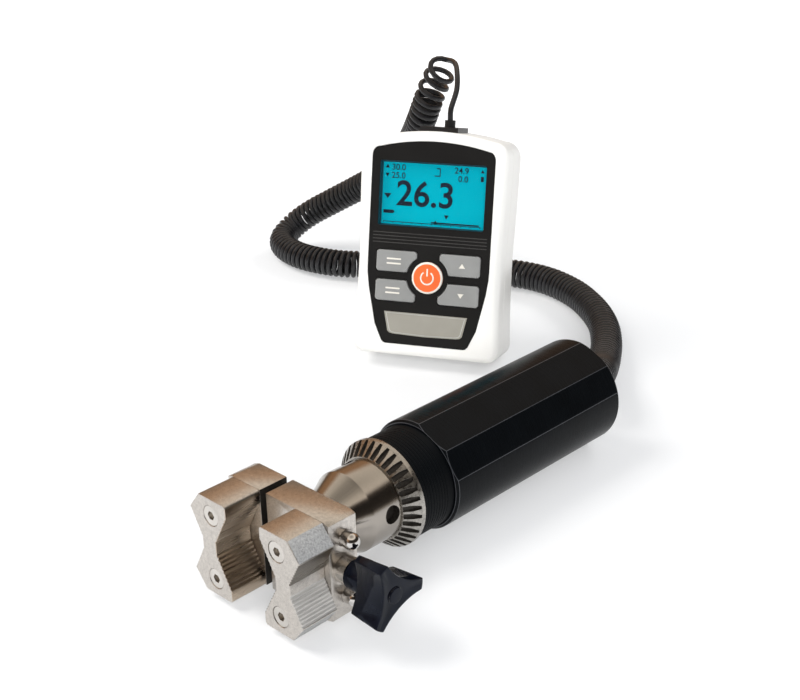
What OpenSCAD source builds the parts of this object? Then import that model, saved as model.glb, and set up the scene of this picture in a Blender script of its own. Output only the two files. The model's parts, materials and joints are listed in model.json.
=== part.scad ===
// Cap torque meter: a handle with a torque sensor, a keyed chuck and a two-jaw cap gripper,
// and a hand-held display unit that is joined to it by a curly cord. Millimetres, +Z up, table at z = 0.
// The torque axis runs along Y and the gripper points to -Y.

/* [Handle] */
// Diameter of the handle tube
tube_d = 44.45; // [42:0.05:48]
// Length of the handle tube
tube_len = 100; // [90:1:130]
// Wall of the tube's front half
front_wall = 4.625; // [4:0.025:5]
// Wall of the tube's rear half
rear_wall = 3.225; // [2.6:0.025:3.6]
// Length of the tube's rear bore, behind the sensor's seat
rear_bore_len = 38; // [34:1:44]
// Step from the tube down to the collar in front of it
collar_step = 1.725; // [1:0.025:2]
// Length of the collar
collar_len = 15.7; // [15:0.1:20]
// Diameter of the sensor's shaft at the bearing
sensor_shaft_d = 12; // [10:0.5:13]
// Side of the sensor's square flexure
flexure_side = 7.6; // [6:0.1:8]

/* [Chuck] */
// Diameter of the chuck's body
chuck_d = 31.6; // [30:0.2:33]
// Diameter of the geared sleeve
sleeve_d = 42.6; // [41.4:0.2:44]
// Teeth on the geared sleeve
sleeve_teeth = 36; // [30:1:40]
// Length of the chuck in front of its sleeve
chuck_reach = 23.3; // [20:0.1:26]
// Diameter of a chuck jaw
jaw_d = 5; // [4.6:0.1:5.2]
// Diameter of the chuck key's pilot holes
key_hole_d = 7; // [5.5:0.5:7.5]

/* [Gripper] */
// Height of the gripper blocks and fingers
grip_h = 39; // [36:0.2:44]
// Depth of the gripper blocks along the torque axis
base_depth = 12.5; // [12:0.5:16]
// Depth of the fingers along the torque axis
finger_depth = 15.6; // [12:0.2:20]
// Width of a finger
finger_w = 19.6; // [18:0.2:22]
// Distance of a finger's lips from the torque axis
lip_x = 8.8; // [8:0.2:12]
// Depth of the V on the gripping side
inner_v = 6.8; // [5.5:0.1:7.4]
// Depth of the V on the back side
outer_v = 5.6; // [4:0.1:6]
// Grooves on each flank of a V
flank_grooves = 9; // [5:1:12]
// Diameter of the gripper's shank
shank_d = 8; // [6:0.5:8.5]
// Diameter of the guide rods
rod_d = 6; // [5:0.1:6.2]
// Height of a guide rod above or below the torque axis
rod_z = 11.2; // [11:0.1:12]
// Diameter of the lead screw
screw_d = 6; // [5:0.5:7]
// Lead of the lead screw
screw_lead = 1; // [0.75:0.25:1.5]
// Radius of the knob's lobes
knob_r = 13; // [11:0.5:15]
// Length of the knob's lobes
knob_len = 13; // [10:0.2:18]

/* [Display unit] */
// Height of the display unit
unit_h = 105.9; // [102:0.1:112]
// Depth of the display unit
unit_depth = 30.2; // [29:0.2:34]
// Width at the bottom
unit_bottom_w = 72.2; // [71:0.2:76]
// Width at the waist
unit_waist_w = 68.8; // [68:0.2:70]
// Width at the top
unit_top_w = 70.8; // [70:0.2:74]
// Thickness of the housing's walls
unit_wall = 2.2; // [1.8:0.1:2.6]
// Width of the screen
screen_w = 50.8; // [48:0.2:53]
// Height of the screen
screen_h = 30.2; // [28:0.2:31]
// Width of a key
key_w = 19.6; // [17:0.2:20]
// Height of a key
key_h = 10; // [9:0.1:10.4]
// Diameter of the power button
power_d = 14.8; // [13:0.1:15.4]
// Travel of the keys and the power button
key_travel = 0.8; // [0.5:0.1:1]

/* [Cord] */
// Diameter of the cord
cord_d = 2.6; // [2.4:0.1:2.9]
// Outer diameter of its curls
curl_d = 15.2; // [14:0.2:15.6]

/* [Hidden] */
curve_fn = 48;
overrun = 1;
// Clearance of a fit that runs or slides, all round
run_gap = 0.05;
// Gap between faces that pass each other
pass_gap = 0.3;

// Place of the tube's front end on the table
tube_x = 49;
tube_y = -41.5;
// Place, turn and lean of the display unit, at the foot of its front face
unit_x = -44.2;
unit_y = 61.4;
unit_turn = 27.8;
unit_lean = 15;

// Handle, with y along the torque axis from the tube's front end
flat_angles = [65, 29.5];
flat_spans = [40, 31];
tube_edge = 1;
tube_front_bore = tube_d - 2 * front_wall;
tube_rear_bore = tube_d - 2 * rear_wall;
seat_y = tube_len - rear_bore_len;
cap_seat = 6;
cap_y = tube_len - cap_seat;
cap_len = 5.6;
cap_screw_in = 5.5;
cap_screw_ring_d = tube_rear_bore - 2 * cap_screw_in;
cap_screw_d = 3;
cap_head_d = 5.5;
cap_head_len = 2.6;
gland_bore = 7;
gland_head_d = 11;
gland_head_len = 4;
flange_len = 10;
post_d = 6;
post_neck_d = 3.4;
post_top_d = 4.4;
post_top_len = 12;
board_y = cap_y - post_top_len;
board_len = 1.6;
board_gap = 2;
amp_board_d = tube_rear_bore - 2 * board_gap;
flexure_len = 24;
flexure_neck_d = 11;
flexure_neck_len = 8;
flexure_y = seat_y - flexure_neck_len - flexure_len;
shaft_step_y = flexure_y - flexure_neck_len;
stud_d = 10;
stud_len = 11;
gauge_size = [3, 0.3, 7];
spigot_d = tube_front_bore;
spigot_len = 8;
collar_d = tube_d - 2 * collar_step;
collar_wall = 3.3;
collar_recess_d = collar_d - 2 * collar_wall;
collar_web_y = -5;
shaft_hole_d = 16;
bearing_d = 24;
bearing_len = 6;
race_wall = 1.95;
ball_d = 3.1;
ball_count = 8;
groove_gap = 0.05;
ring_groove = 0.5;
ring_groove_places = [-11.5, -8.5, -5.5];

// Chuck
sleeve_rear_y = -collar_len - pass_gap;
sleeve_rim = 2.6;
sleeve_len = 7.2;
sleeve_front_y = sleeve_rear_y - sleeve_len;
sleeve_front_d = 33.2;
tooth_depth = 1.3;
tooth_gap = 1.8;
nut_d = 33.8;
nut_len = 3.7;
nut_slit = 0.3;
body_step_y = sleeve_rear_y - pass_gap - nut_len - pass_gap;
body_rear_y = -6;
stud_end_y = body_rear_y - stud_len;
groove_d = 26;
cone_len = 10.5;
nose_y = sleeve_front_y - chuck_reach;
shoulder_y = nose_y + cone_len;
nose_d = 20.8;
chuck_bore = 10.6;
chuck_bore_end_y = -22;
jaw_lean = 12;
jaw_nose_r = 5.2;
jaw_show = 1.5;
jaw_tip_y = nose_y - jaw_show;
jaw_rear_y = -16;
jaw_angles = [65, 185, 305];
key_hole_depth = 3.2;
key_hole_y = -27.5;
grip_gap = 0.1;

// Gripper, with x across the jaws
shank_show = 8.6;
base_rear_y = nose_y - shank_show;
base_front_y = base_rear_y - base_depth;
finger_front_y = base_front_y - finger_depth;
screw_y = base_rear_y - base_depth / 2;
rod_back = 1.2;
rods_y = screw_y + rod_back;
jaw_gap = 3.3;
outer_x = lip_x + finger_w;
finger_corner = [5.4, 6.8];
base_step = 2.6;
base_x = outer_x - base_step;
base_corner = [2.4, 0.8];
lip_corner = 0.8;
waist_h = 4;
inner_lip_h = 5.2;
outer_lip_h = 7.2;
groove_depth = 0.4;
finger_screw_in = 8.3;
finger_screw_x = lip_x + finger_screw_in;
finger_screw_z = 12.8;
finger_screw_d = 3.6;
finger_head_d = 7.6;
finger_head_len = 3.8;
finger_head_sink = 0.2;
finger_hole_gap = 0.2;
hex_key = 3;
hex_depth = 2;
finger_screw_grip = 3.6;
shank_end_y = -26;
shank_flange_d = 2 * (lip_x - jaw_gap);
shank_flange_len = 2;
rod_tail = 2;
rod_out = 3;
screw_tail = 0.4;
thread_depth = 0.6;
bush_d = 9;
bush_len = 8;
bush_flange_d = 10.2;
bush_flange_len = 4.6;
clip_d = 8.4;
clip_len = 1.2;
hub_d = 11;
hub_len = 6.5;
scallop_r = 24;
scallop_off = 30.5;
knob_taper = 0.8;
knob_phase = 22.5;
knob_cap_d = 6;
knob_cap_len = 0.4;
set_screw_d = 3;
set_screw_len = 1;

// Display unit, with x to the right, y into the unit from its front face and z up its face
bottom_half = unit_bottom_w / 2;
waist_half = unit_waist_w / 2;
top_half = unit_top_w / 2;
waist_z = 50;
corner_bottom = 6;
corner_top = 8;
top_arch = 3.2;
// Rounding of the outer edges: how far in each section lies, and how far from the face
round_shares = [[1, 0], [0.45, 0.12], [0.12, 0.45], [0, 1]];
round_r = 3;
split_y = 12;
face_wall = 3;
recess = 0.8;
overlay_gap = 0.15;
overlay_top_half = 29.3;
overlay_low_half = 20.6;
overlay_low_z = 5.6;
overlay_knee_z = 41;
overlay_top_z = 96.6;
overlay_arch = 4.6;
overlay_corner = 3;
screen_z = 61.4;
lens_border = 1.8;
lens_len = 1;
lens_gap = 0.2;
glass_size = [54, 2.6, 34];
lcd_frame_wall = 2.2;
lcd_frame_len = 3;
key_x = 5.5;
key_row_z = [39.8, 25.9];
key_corner = 1.5;
key_rise = 0.5;
key_gap = 0.3;
key_ring_d = 20.4;
key_flange = 1.2;
key_flange_len = 1;
key_stem_d = 4;
power_z = 38;
power_ring_w = 1.3;
switch_d = 5;
switch_len = 2.1;
board_front_y = 14.6;
main_board_z = 7;
main_board_side = 9.4;
main_board_top = 6.9;
main_board_size = [unit_waist_w - 2 * main_board_side, 1.6, unit_h - main_board_z - main_board_top];
board_post_d = 5;
board_post_x = 22;
board_post_in = [3.5, 2];
board_post_z = [main_board_z + board_post_in[0], main_board_z + main_board_size[2] - board_post_in[1]];
boss_d = 6.4;
boss_x = 29;
boss_low_z = 11;
boss_top = 8.9;
boss_z = [boss_low_z, unit_h - boss_top];
unit_screw_d = 2.6;
unit_head_d = 5;
unit_head_sink = 3;
unit_screw_end_y = 5;
cell_d = 10.4;
cell_len = 44;
cell_count = 3;
cell_z = 14;
holder_wall = 1.2;
holder_h = 33.4;
jack_size = [9, 6.4, 9];
jack_z = 62;
jack_hole_d = 5.6;
jack_nose_d = 5;
jack_nose_in = 1;
connector_size = [10, 6.4, 17];
connector_z = 76;
connector_hole = [4.4, 13];
label_len = 0.3;
label_top_half = 20;
label_low_half = 17;
label_top_z = 20.8;
label_low_z = 10.4;
plate_size = [18.4, 20, 2.6];
plate_x = 0.4;
plate_sink = 0.7;
plate_z = unit_h - plate_sink;
boot_x = 3.2;
boot_d = 5;
boot_len = 3.4;
unit_lift = (unit_depth - round_r) * sin(unit_lean) + round_r * (1 - cos(unit_lean));

// Cord routes, chosen by hand, as places on the table
lead_route = [
    [-61, 104, 117], [-60, 106, 123], [-61, 108, 129], [-65, 110, 134], [-72, 113, 137], [-80, 117, 137]
];
curl_route = [
    [-88, 121, 133], [-91, 121, 126], [-93, 120, 119], [-96, 120, 110], [-101, 123, 100],
    [-117, 134, 86], [-140, 148, 67], [-163, 154, 51], [-181, 153, 40], [-197, 147, 30],
    [-209, 141, 22], [-217, 134, 14], [-215, 124, 9], [-203, 117, 8], [-184, 115, 8],
    [-163, 121, 8], [-143, 136, 8], [-113, 156, 8], [-85, 170, 8], [-63, 175, 8],
    [-41, 171, 8], [-21, 161, 8], [-3, 147, 8], [11, 131, 8], [22, 115, 9],
    [32, 99, 12], [42, 83, 18]
];
curl_spans = [
    0, 1.5, 2, 2, 2.5, 2.5, 3, 3.5, 3.5, 3, 2, 1.5, 2, 3, 3.5, 3, 2.5, 3,
    3.5, 6, 6, 6, 6, 5.5, 5, 4, 2.5, 0
];
rings_per_curl = 8;
lead_rings = 2;
curl_sides = 6;
lead_sides = 8;
curl_r = (curl_d - cord_d) / 2;
curl_ramp = 1;
side_hint = [0.3, 0.5, -0.8];
end_run = 2 * cord_d;

// Places in the three frames
module on_handle() {
    translate([tube_x, tube_y, tube_d / 2]) children();
}

module on_unit() {
    translate([unit_x, unit_y, unit_lift]) rotate([-unit_lean, 0, unit_turn]) children();
}

// A solid of revolution about the torque axis, from [radius, y] points
module turned(points) {
    rotate([-90, 0, 0]) rotate_extrude($fn = curve_fn) polygon(points);
}

module rod_y(d, y0, y1) {
    translate([0, y0, 0]) rotate([-90, 0, 0]) cylinder(d = d, h = y1 - y0, $fn = curve_fn);
}

module rod_x(d, x0, x1) {
    translate([x0, 0, 0]) rotate([0, 90, 0]) cylinder(d = d, h = x1 - x0, $fn = curve_fn);
}

// A flat shape drawn in x and z, made thick along y
module plate_y(y0, y1) {
    translate([0, y1, 0]) rotate([90, 0, 0]) linear_extrude(height = y1 - y0) children();
}

// Turns its children about the torque axis, from +X towards +Z
module at_angle(a) {
    rotate([0, -a, 0]) children();
}

function annulus(r0, r1, y0, y1) = [[r0, y0], [r1, y0], [r1, y1], [r0, y1]];
function rounded(w, h, r, n = 5) = [
    for (q = [0:3]) for (i = [0:n]) let(a = 90 * (q + i / n))
        [(q == 0 || q == 3 ? 1 : -1) * (w / 2 - r) + r * cos(a), (q < 2 ? 1 : -1) * (h / 2 - r) + r * sin(a)]
];

// Handle
module handle_tube() {
    color([0.05, 0.05, 0.055]) on_handle() difference() {
        turned([
            [tube_front_bore / 2, 0], [tube_d / 2 - tube_edge, 0], [tube_d / 2, tube_edge],
            [tube_d / 2, tube_len - tube_edge], [tube_d / 2 - tube_edge, tube_len],
            [tube_rear_bore / 2, tube_len], [tube_rear_bore / 2, seat_y], [tube_front_bore / 2, seat_y]
        ]);
        for (i = [0, 1]) at_angle(flat_angles[i])
            translate([tube_d / 2 * cos(flat_spans[i] / 2), -overrun, -tube_d / 2])
                cube([tube_d, tube_len + 2 * overrun, tube_d]);
    }
}

module cap_screw_places() {
    for (i = [0:2]) at_angle(90 + 120 * i) translate([cap_screw_ring_d / 2, 0, 0]) children();
}

module rear_cap() {
    color([0.07, 0.07, 0.075]) on_handle() difference() {
        rod_y(tube_rear_bore - 2 * run_gap, cap_y, cap_y + cap_len);
        rod_y(gland_bore, cap_y - overrun, tube_len);
        cap_screw_places() {
            rod_y(cap_screw_d + 2 * run_gap, cap_y - overrun, tube_len);
            rod_y(cap_head_d + 2 * run_gap, cap_y + cap_len - cap_head_len, tube_len);
        }
    }
}

module rear_cap_screws() {
    color([0.25, 0.25, 0.26]) on_handle() cap_screw_places() difference() {
        union() {
            rod_y(cap_screw_d, cap_y - cap_len, cap_y + cap_len - cap_head_len);
            rod_y(cap_head_d, cap_y + cap_len - cap_head_len, cap_y + cap_len);
        }
        translate([0, cap_y + cap_len - cap_head_len / 2, 0]) rotate([-90, 0, 0])
            cylinder(d = cap_head_d / 2, h = cap_head_len, $fn = 6);
    }
}

module cord_gland() {
    color([0.04, 0.04, 0.04]) on_handle() difference() {
        union() {
            rod_y(gland_bore, cap_y, cap_y + cap_len);
            rod_y(gland_head_d, cap_y + cap_len, cap_y + cap_len + gland_head_len);
        }
        rod_y(cord_d, cap_y - overrun, cap_y + cap_len);
    }
}

module torque_sensor() {
    color([0.72, 0.73, 0.75]) on_handle() difference() {
        union() {
            turned([
                [0, stud_end_y], [stud_d / 2, stud_end_y], [stud_d / 2, body_rear_y],
                [sensor_shaft_d / 2, body_rear_y], [sensor_shaft_d / 2, shaft_step_y],
                [flexure_neck_d / 2, shaft_step_y], [flexure_neck_d / 2, flexure_y], [0, flexure_y]
            ]);
            translate([-flexure_side / 2, flexure_y, -flexure_side / 2])
                cube([flexure_side, flexure_len, flexure_side]);
            rod_y(flexure_neck_d, flexure_y + flexure_len, seat_y);
            rod_y(tube_rear_bore - 2 * run_gap, seat_y, seat_y + flange_len);
        }
        cap_screw_places() rod_y(post_neck_d, seat_y + flange_len / 2, seat_y + flange_len + overrun);
    }
}

module strain_gauges() {
    color([0.75, 0.55, 0.2]) on_handle() for (a = [0:90:270]) at_angle(a)
        translate([flexure_side / 2, flexure_y + flexure_len / 2 - gauge_size[2] / 2, -gauge_size[0] / 2])
            cube([gauge_size[1], gauge_size[2], gauge_size[0]]);
}

module board_posts() {
    color([0.7, 0.7, 0.72]) on_handle() cap_screw_places() difference() {
        union() {
            rod_y(post_neck_d, seat_y + flange_len / 2, seat_y + flange_len);
            rod_y(post_d, seat_y + flange_len, board_y);
            rod_y(post_top_d, board_y, cap_y);
        }
        rod_y(cap_screw_d, cap_y - cap_len, cap_y + overrun);
    }
}

module amplifier_board() {
    color([0.05, 0.3, 0.14]) on_handle() union() {
        difference() {
            rod_y(amp_board_d, board_y, board_y + board_len);
            cap_screw_places() rod_y(post_top_d + 2 * run_gap, board_y - overrun, cap_y);
        }
        translate([-amp_board_d / 6, board_y - board_len, -amp_board_d / 6])
            cube([amp_board_d / 3, board_len, amp_board_d / 3]);
        translate([-amp_board_d / 8, board_y + board_len, -amp_board_d / 4])
            cube([amp_board_d / 4, 2 * board_len, amp_board_d / 6]);
    }
}

module front_collar() {
    color([0.05, 0.05, 0.05]) on_handle() difference() {
        turned([
            [collar_recess_d / 2, -collar_len], [collar_d / 2, -collar_len], [collar_d / 2, 0],
            [spigot_d / 2, 0], [spigot_d / 2, spigot_len], [bearing_d / 2, spigot_len],
            [bearing_d / 2, spigot_len - bearing_len], [shaft_hole_d / 2, spigot_len - bearing_len],
            [shaft_hole_d / 2, collar_web_y], [collar_recess_d / 2, collar_web_y]
        ]);
        for (y = ring_groove_places)
            turned(annulus(collar_d / 2 - ring_groove, collar_d / 2 + overrun, y, y + ring_groove));
    }
}

ball_ring_r = (sensor_shaft_d + bearing_d) / 4;

module ball_groove() {
    translate([0, spigot_len - bearing_len / 2, 0]) rotate([-90, 0, 0]) rotate_extrude($fn = curve_fn)
        translate([ball_ring_r, 0]) circle(d = ball_d + 2 * groove_gap, $fn = curve_fn);
}

module bearing_outer_race() {
    color([0.8, 0.8, 0.82]) on_handle() difference() {
        turned(annulus(bearing_d / 2 - race_wall, bearing_d / 2, spigot_len - bearing_len, spigot_len));
        ball_groove();
    }
}

module bearing_inner_race() {
    color([0.8, 0.8, 0.82]) on_handle() difference() {
        turned(annulus(
            sensor_shaft_d / 2, sensor_shaft_d / 2 + race_wall, spigot_len - bearing_len, spigot_len
        ));
        ball_groove();
    }
}

module bearing_balls() {
    color([0.85, 0.85, 0.87]) on_handle() for (i = [0:ball_count - 1]) at_angle(360 * i / ball_count)
        translate([ball_ring_r, spigot_len - bearing_len / 2, 0]) sphere(d = ball_d, $fn = curve_fn);
}

// Chuck. A jaw's axis leans in towards the nose, and y is where it is measured.
function jaw_r(y) = jaw_nose_r + (y - nose_y) * tan(jaw_lean);

module jaw_rod(i, d, y0, y1) {
    at_angle(jaw_angles[i]) translate([jaw_r(y0), y0, 0]) rotate([0, 0, -jaw_lean])
        rod_y(d, 0, (y1 - y0) / cos(jaw_lean));
}

module chuck_body() {
    color([0.74, 0.72, 0.69]) on_handle() difference() {
        turned([
            [chuck_bore / 2, nose_y], [nose_d / 2, nose_y], [chuck_d / 2, shoulder_y],
            [chuck_d / 2, body_step_y], [groove_d / 2, body_step_y], [groove_d / 2, body_rear_y],
            [stud_d / 2, body_rear_y], [stud_d / 2, stud_end_y], [0, stud_end_y],
            [0, chuck_bore_end_y], [chuck_bore / 2, chuck_bore_end_y]
        ]);
        for (i = [0:2]) {
            jaw_rod(i, jaw_d + 2 * run_gap, nose_y - 2 * jaw_d, body_rear_y + jaw_d);
            at_angle(jaw_angles[i] - 60) translate([chuck_d / 2 - key_hole_depth, key_hole_y, 0])
                rod_x(key_hole_d, 0, chuck_d / 2);
        }
    }
}

module chuck_jaw(i) {
    color([0.6, 0.6, 0.62]) on_handle() difference() {
        jaw_rod(i, jaw_d, jaw_tip_y, jaw_rear_y);
        rod_y(shank_d + 2 * grip_gap, jaw_tip_y - jaw_d, jaw_rear_y);
    }
}

module chuck_jaw_1() chuck_jaw(0);
module chuck_jaw_2() chuck_jaw(1);
module chuck_jaw_3() chuck_jaw(2);

nut_rear_y = sleeve_rear_y - pass_gap;
nut_front_y = nut_rear_y - nut_len;
function nut_r(y) = jaw_r(y) + jaw_d / 2 / cos(jaw_lean) + grip_gap;

module chuck_sleeve() {
    cone_run = sleeve_rear_y - sleeve_rim - sleeve_front_y;
    cone_rise = (sleeve_d - sleeve_front_d) / 2;
    color([0.7, 0.68, 0.66]) on_handle() difference() {
        turned([
            [nut_d / 2, sleeve_rear_y], [sleeve_d / 2, sleeve_rear_y],
            [sleeve_d / 2, sleeve_rear_y - sleeve_rim], [sleeve_front_d / 2, sleeve_front_y],
            [chuck_d / 2 + run_gap, sleeve_front_y], [chuck_d / 2 + run_gap, nut_front_y],
            [nut_d / 2, nut_front_y]
        ]);
        for (i = [0:sleeve_teeth - 1]) at_angle(360 * i / sleeve_teeth)
            translate([sleeve_d / 2, sleeve_rear_y - sleeve_rim, 0])
                rotate([0, 0, -atan2(cone_run, cone_rise)])
                    translate([-2 * cone_rise, -tooth_depth, -tooth_gap / 2])
                        cube([2 * cone_rise + overrun, 2 * tooth_depth, tooth_gap]);
    }
}

module chuck_nut() {
    color([0.55, 0.55, 0.56]) on_handle() difference() {
        turned([
            [nut_r(nut_front_y), nut_front_y], [nut_d / 2, nut_front_y], [nut_d / 2, nut_rear_y],
            [nut_r(nut_rear_y), nut_rear_y]
        ]);
        translate([-nut_d, nut_front_y - overrun, -nut_slit / 2])
            cube([2 * nut_d, nut_len + 2 * overrun, nut_slit]);
    }
}

// Gripper
base_inner_x = lip_x;
fixed_inner_x = -lip_x + jaw_gap;
clip_x = base_x - bush_len - pass_gap - clip_len;

module gripper_shank() {
    color([0.66, 0.65, 0.63]) on_handle() union() {
        rod_y(shank_d, base_rear_y, shank_end_y);
        rod_y(shank_flange_d, base_rear_y - shank_flange_len, base_rear_y);
    }
}

// A block's outline in x and z, with its outer corners cut, from its inner side to base_x
function block_outline(x0) = let(h = grip_h / 2, c = base_corner) [
    [x0, -h], [base_x - c[0], -h], [base_x, c[1] - h], [base_x, h - c[1]], [base_x - c[0], h], [x0, h]
];

// Flank of a V from a to b with its grooves, drawn to the left of the way it runs
function flank(a, b) = let(d = b - a, n = [-d[1], d[0]] / norm(d)) [
    for (i = [0:flank_grooves - 1], s = [0, 0.5])
        a + d * (i + s) / flank_grooves + n * groove_depth * 2 * s
];

function finger_outline() = let(
    h = grip_h / 2, c = finger_corner, wi = lip_x + inner_v, wo = outer_x - outer_v,
    zi = h - inner_lip_h, zo = h - outer_lip_h, zw = waist_h / 2
) concat(
    [[lip_x + lip_corner, -h], [outer_x - c[0], -h], [outer_x, -h + c[1]]],
    flank([outer_x, -zo], [wo, -zw]), [[wo, -zw]], flank([wo, zw], [outer_x, zo]), [[outer_x, zo]],
    [[outer_x, h - c[1]], [outer_x - c[0], h], [lip_x + lip_corner, h], [lip_x, h - lip_corner]],
    flank([lip_x, zi], [wi, zw]), [[wi, zw]], flank([wi, -zw], [lip_x, -zi]), [[lip_x, -zi]],
    [[lip_x, -h + lip_corner]]
);

module at_finger_screws() {
    for (s = [-1, 1]) translate([finger_screw_x, 0, s * finger_screw_z]) children();
}

module finger() {
    difference() {
        plate_y(finger_front_y, base_front_y) polygon(finger_outline());
        at_finger_screws() {
            rod_y(finger_screw_d + finger_hole_gap, finger_front_y - overrun, base_front_y + overrun);
            rod_y(
                finger_head_d + finger_hole_gap, finger_front_y - overrun,
                finger_front_y + finger_head_sink + finger_head_len
            );
        }
    }
}

module finger_screws() {
    head_y = finger_front_y + finger_head_sink;
    at_finger_screws() difference() {
        union() {
            rod_y(finger_head_d, head_y, head_y + finger_head_len);
            rod_y(finger_screw_d, head_y + finger_head_len, base_front_y + finger_screw_grip);
        }
        translate([0, head_y - overrun, 0]) rotate([-90, 0, 0])
            cylinder(d = hex_key / cos(30), h = hex_depth + overrun, $fn = 6);
    }
}

module rods_at(d, x0, x1) {
    for (s = [-1, 1]) translate([0, rods_y, s * rod_z]) rod_x(d, x0, x1);
}

module fixed_base() {
    color([0.72, 0.66, 0.58]) on_handle() difference() {
        plate_y(base_front_y, base_rear_y) polygon(block_outline(fixed_inner_x));
        rods_at(rod_d + 2 * run_gap, fixed_inner_x - overrun, base_x + overrun);
        translate([0, screw_y, 0]) {
            rod_x(screw_d + 2 * run_gap, fixed_inner_x - overrun, base_x + overrun);
            rod_x(bush_d, clip_x - pass_gap, base_x + overrun);
        }
        rod_y(shank_flange_d, base_rear_y - shank_flange_len, base_rear_y + overrun);
        at_finger_screws() rod_y(finger_screw_d, base_front_y - overrun, base_front_y + finger_screw_grip);
    }
}

module fixed_finger() {
    color([0.78, 0.77, 0.74]) on_handle() finger();
}

module fixed_finger_screws() {
    color([0.6, 0.6, 0.6]) on_handle() finger_screws();
}

module moving_base() {
    color([0.72, 0.66, 0.58]) on_handle() mirror([1, 0, 0]) difference() {
        plate_y(base_front_y, base_rear_y) polygon(block_outline(base_inner_x));
        rods_at(rod_d, base_inner_x - overrun, base_x - rod_tail);
        translate([0, screw_y, 0])
            rod_x(screw_d + 2 * run_gap, base_inner_x - overrun, base_x + overrun);
        at_finger_screws() rod_y(finger_screw_d, base_front_y - overrun, base_front_y + finger_screw_grip);
    }
}

module moving_finger() {
    color([0.78, 0.77, 0.74]) on_handle() mirror([1, 0, 0]) finger();
}

module moving_finger_screws() {
    color([0.6, 0.6, 0.6]) on_handle() mirror([1, 0, 0]) finger_screws();
}

module guide_rod(s) {
    color([0.82, 0.82, 0.84]) on_handle() translate([0, rods_y, s * rod_z]) union() {
        rod_x(rod_d, rod_tail - base_x, base_x + rod_out);
        translate([base_x + rod_out, 0, 0]) sphere(d = rod_d, $fn = curve_fn);
    }
}

module upper_guide_rod() guide_rod(1);
module lower_guide_rod() guide_rod(-1);

bush_end_x = base_x + bush_flange_len;
hub_x = bush_end_x + pass_gap;
lobe_x = hub_x + hub_len;
screw_end_x = lobe_x + knob_len;
thread_count = floor((base_x + fixed_inner_x) / screw_lead);

// The thread is drawn as ridges, one for each turn
module lead_screw() {
    x0 = screw_tail - base_x;
    color([0.62, 0.62, 0.64]) on_handle() translate([0, screw_y, 0]) rotate([0, 90, 0])
        rotate_extrude($fn = curve_fn) polygon(concat(
            [[0, x0]],
            [for (i = [0:thread_count - 1], s = [0, 1])
                [screw_d / 2 - (1 - s) * thread_depth, x0 + (i + s / 2) * screw_lead]],
            [[screw_d / 2, x0 + thread_count * screw_lead], [screw_d / 2, screw_end_x], [0, screw_end_x]]
        ));
}

module screw_bush() {
    color([0.7, 0.7, 0.7]) on_handle() translate([0, screw_y, 0]) difference() {
        union() {
            rod_x(bush_d, base_x - bush_len, base_x);
            rod_x(bush_flange_d, base_x, bush_end_x);
        }
        rod_x(screw_d + 2 * run_gap, base_x - bush_len - overrun, bush_end_x + overrun);
    }
}

module screw_clip() {
    color([0.3, 0.3, 0.3]) on_handle() translate([0, screw_y, 0]) difference() {
        rod_x(clip_d, clip_x, clip_x + clip_len);
        rod_x(screw_d, clip_x - overrun, clip_x + clip_len + overrun);
    }
}

module knob() {
    color([0.03, 0.03, 0.035]) on_handle() translate([0, screw_y, 0]) difference() {
        union() {
            difference() {
                translate([lobe_x, 0, 0]) rotate([0, 90, 0])
                    cylinder(r1 = knob_r - knob_taper, r2 = knob_r, h = knob_len, $fn = curve_fn);
                for (i = [0:2]) rotate([knob_phase + 120 * i, 0, 0])
                    translate([0, 0, -scallop_off])
                        rod_x(2 * scallop_r, lobe_x - overrun, lobe_x + knob_len + overrun);
            }
            rod_x(hub_d, hub_x, lobe_x);
            rod_x(knob_cap_d, lobe_x + knob_len, lobe_x + knob_len + knob_cap_len);
        }
        rod_x(screw_d, hub_x - overrun, screw_end_x);
        translate([hub_x + hub_len / 2, 0, 0]) cylinder(d = set_screw_d / 2, h = hub_d, $fn = curve_fn);
    }
}

module knob_set_screw() {
    color([0.3, 0.3, 0.3]) on_handle()
        translate([hub_x + hub_len / 2, screw_y, screw_d / 2])
            cylinder(d = set_screw_d / 2, h = set_screw_len, $fn = curve_fn);
}

// Display unit's outline
function side_half(z) = z < waist_z
    ? waist_half + (bottom_half - waist_half) * pow((waist_z - z) / waist_z, 2)
    : waist_half + (top_half - waist_half) * (1 - pow((unit_h - z) / (unit_h - waist_z), 2));

function unit_side(inset) = let(
    zb = corner_bottom, zt = unit_h - top_arch - corner_top, s = side_half(zt) - corner_top
) concat(
    [for (i = [0:5]) let(a = 18 * i - 90, r = corner_bottom - inset)
        [side_half(zb) - corner_bottom + r * cos(a), zb + r * sin(a)]],
    [for (i = [1:7]) let(z = zb + (zt - zb) * i / 8) [side_half(z) - inset, z]],
    [for (i = [0:5]) let(a = 15 * i, r = corner_top - inset) [s + r * cos(a), zt + r * sin(a)]],
    [for (i = [0:4]) let(k = 1 - i / 5) [s * k, unit_h - inset - top_arch * k * k]]
);

function mirrored(half) = [for (i = [len(half) - 1:-1:0]) [-half[i][0], half[i][1]]];
function unit_outline(inset) = let(r = unit_side(inset)) concat(r, [[0, unit_h - inset]], mirrored(r));

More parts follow.
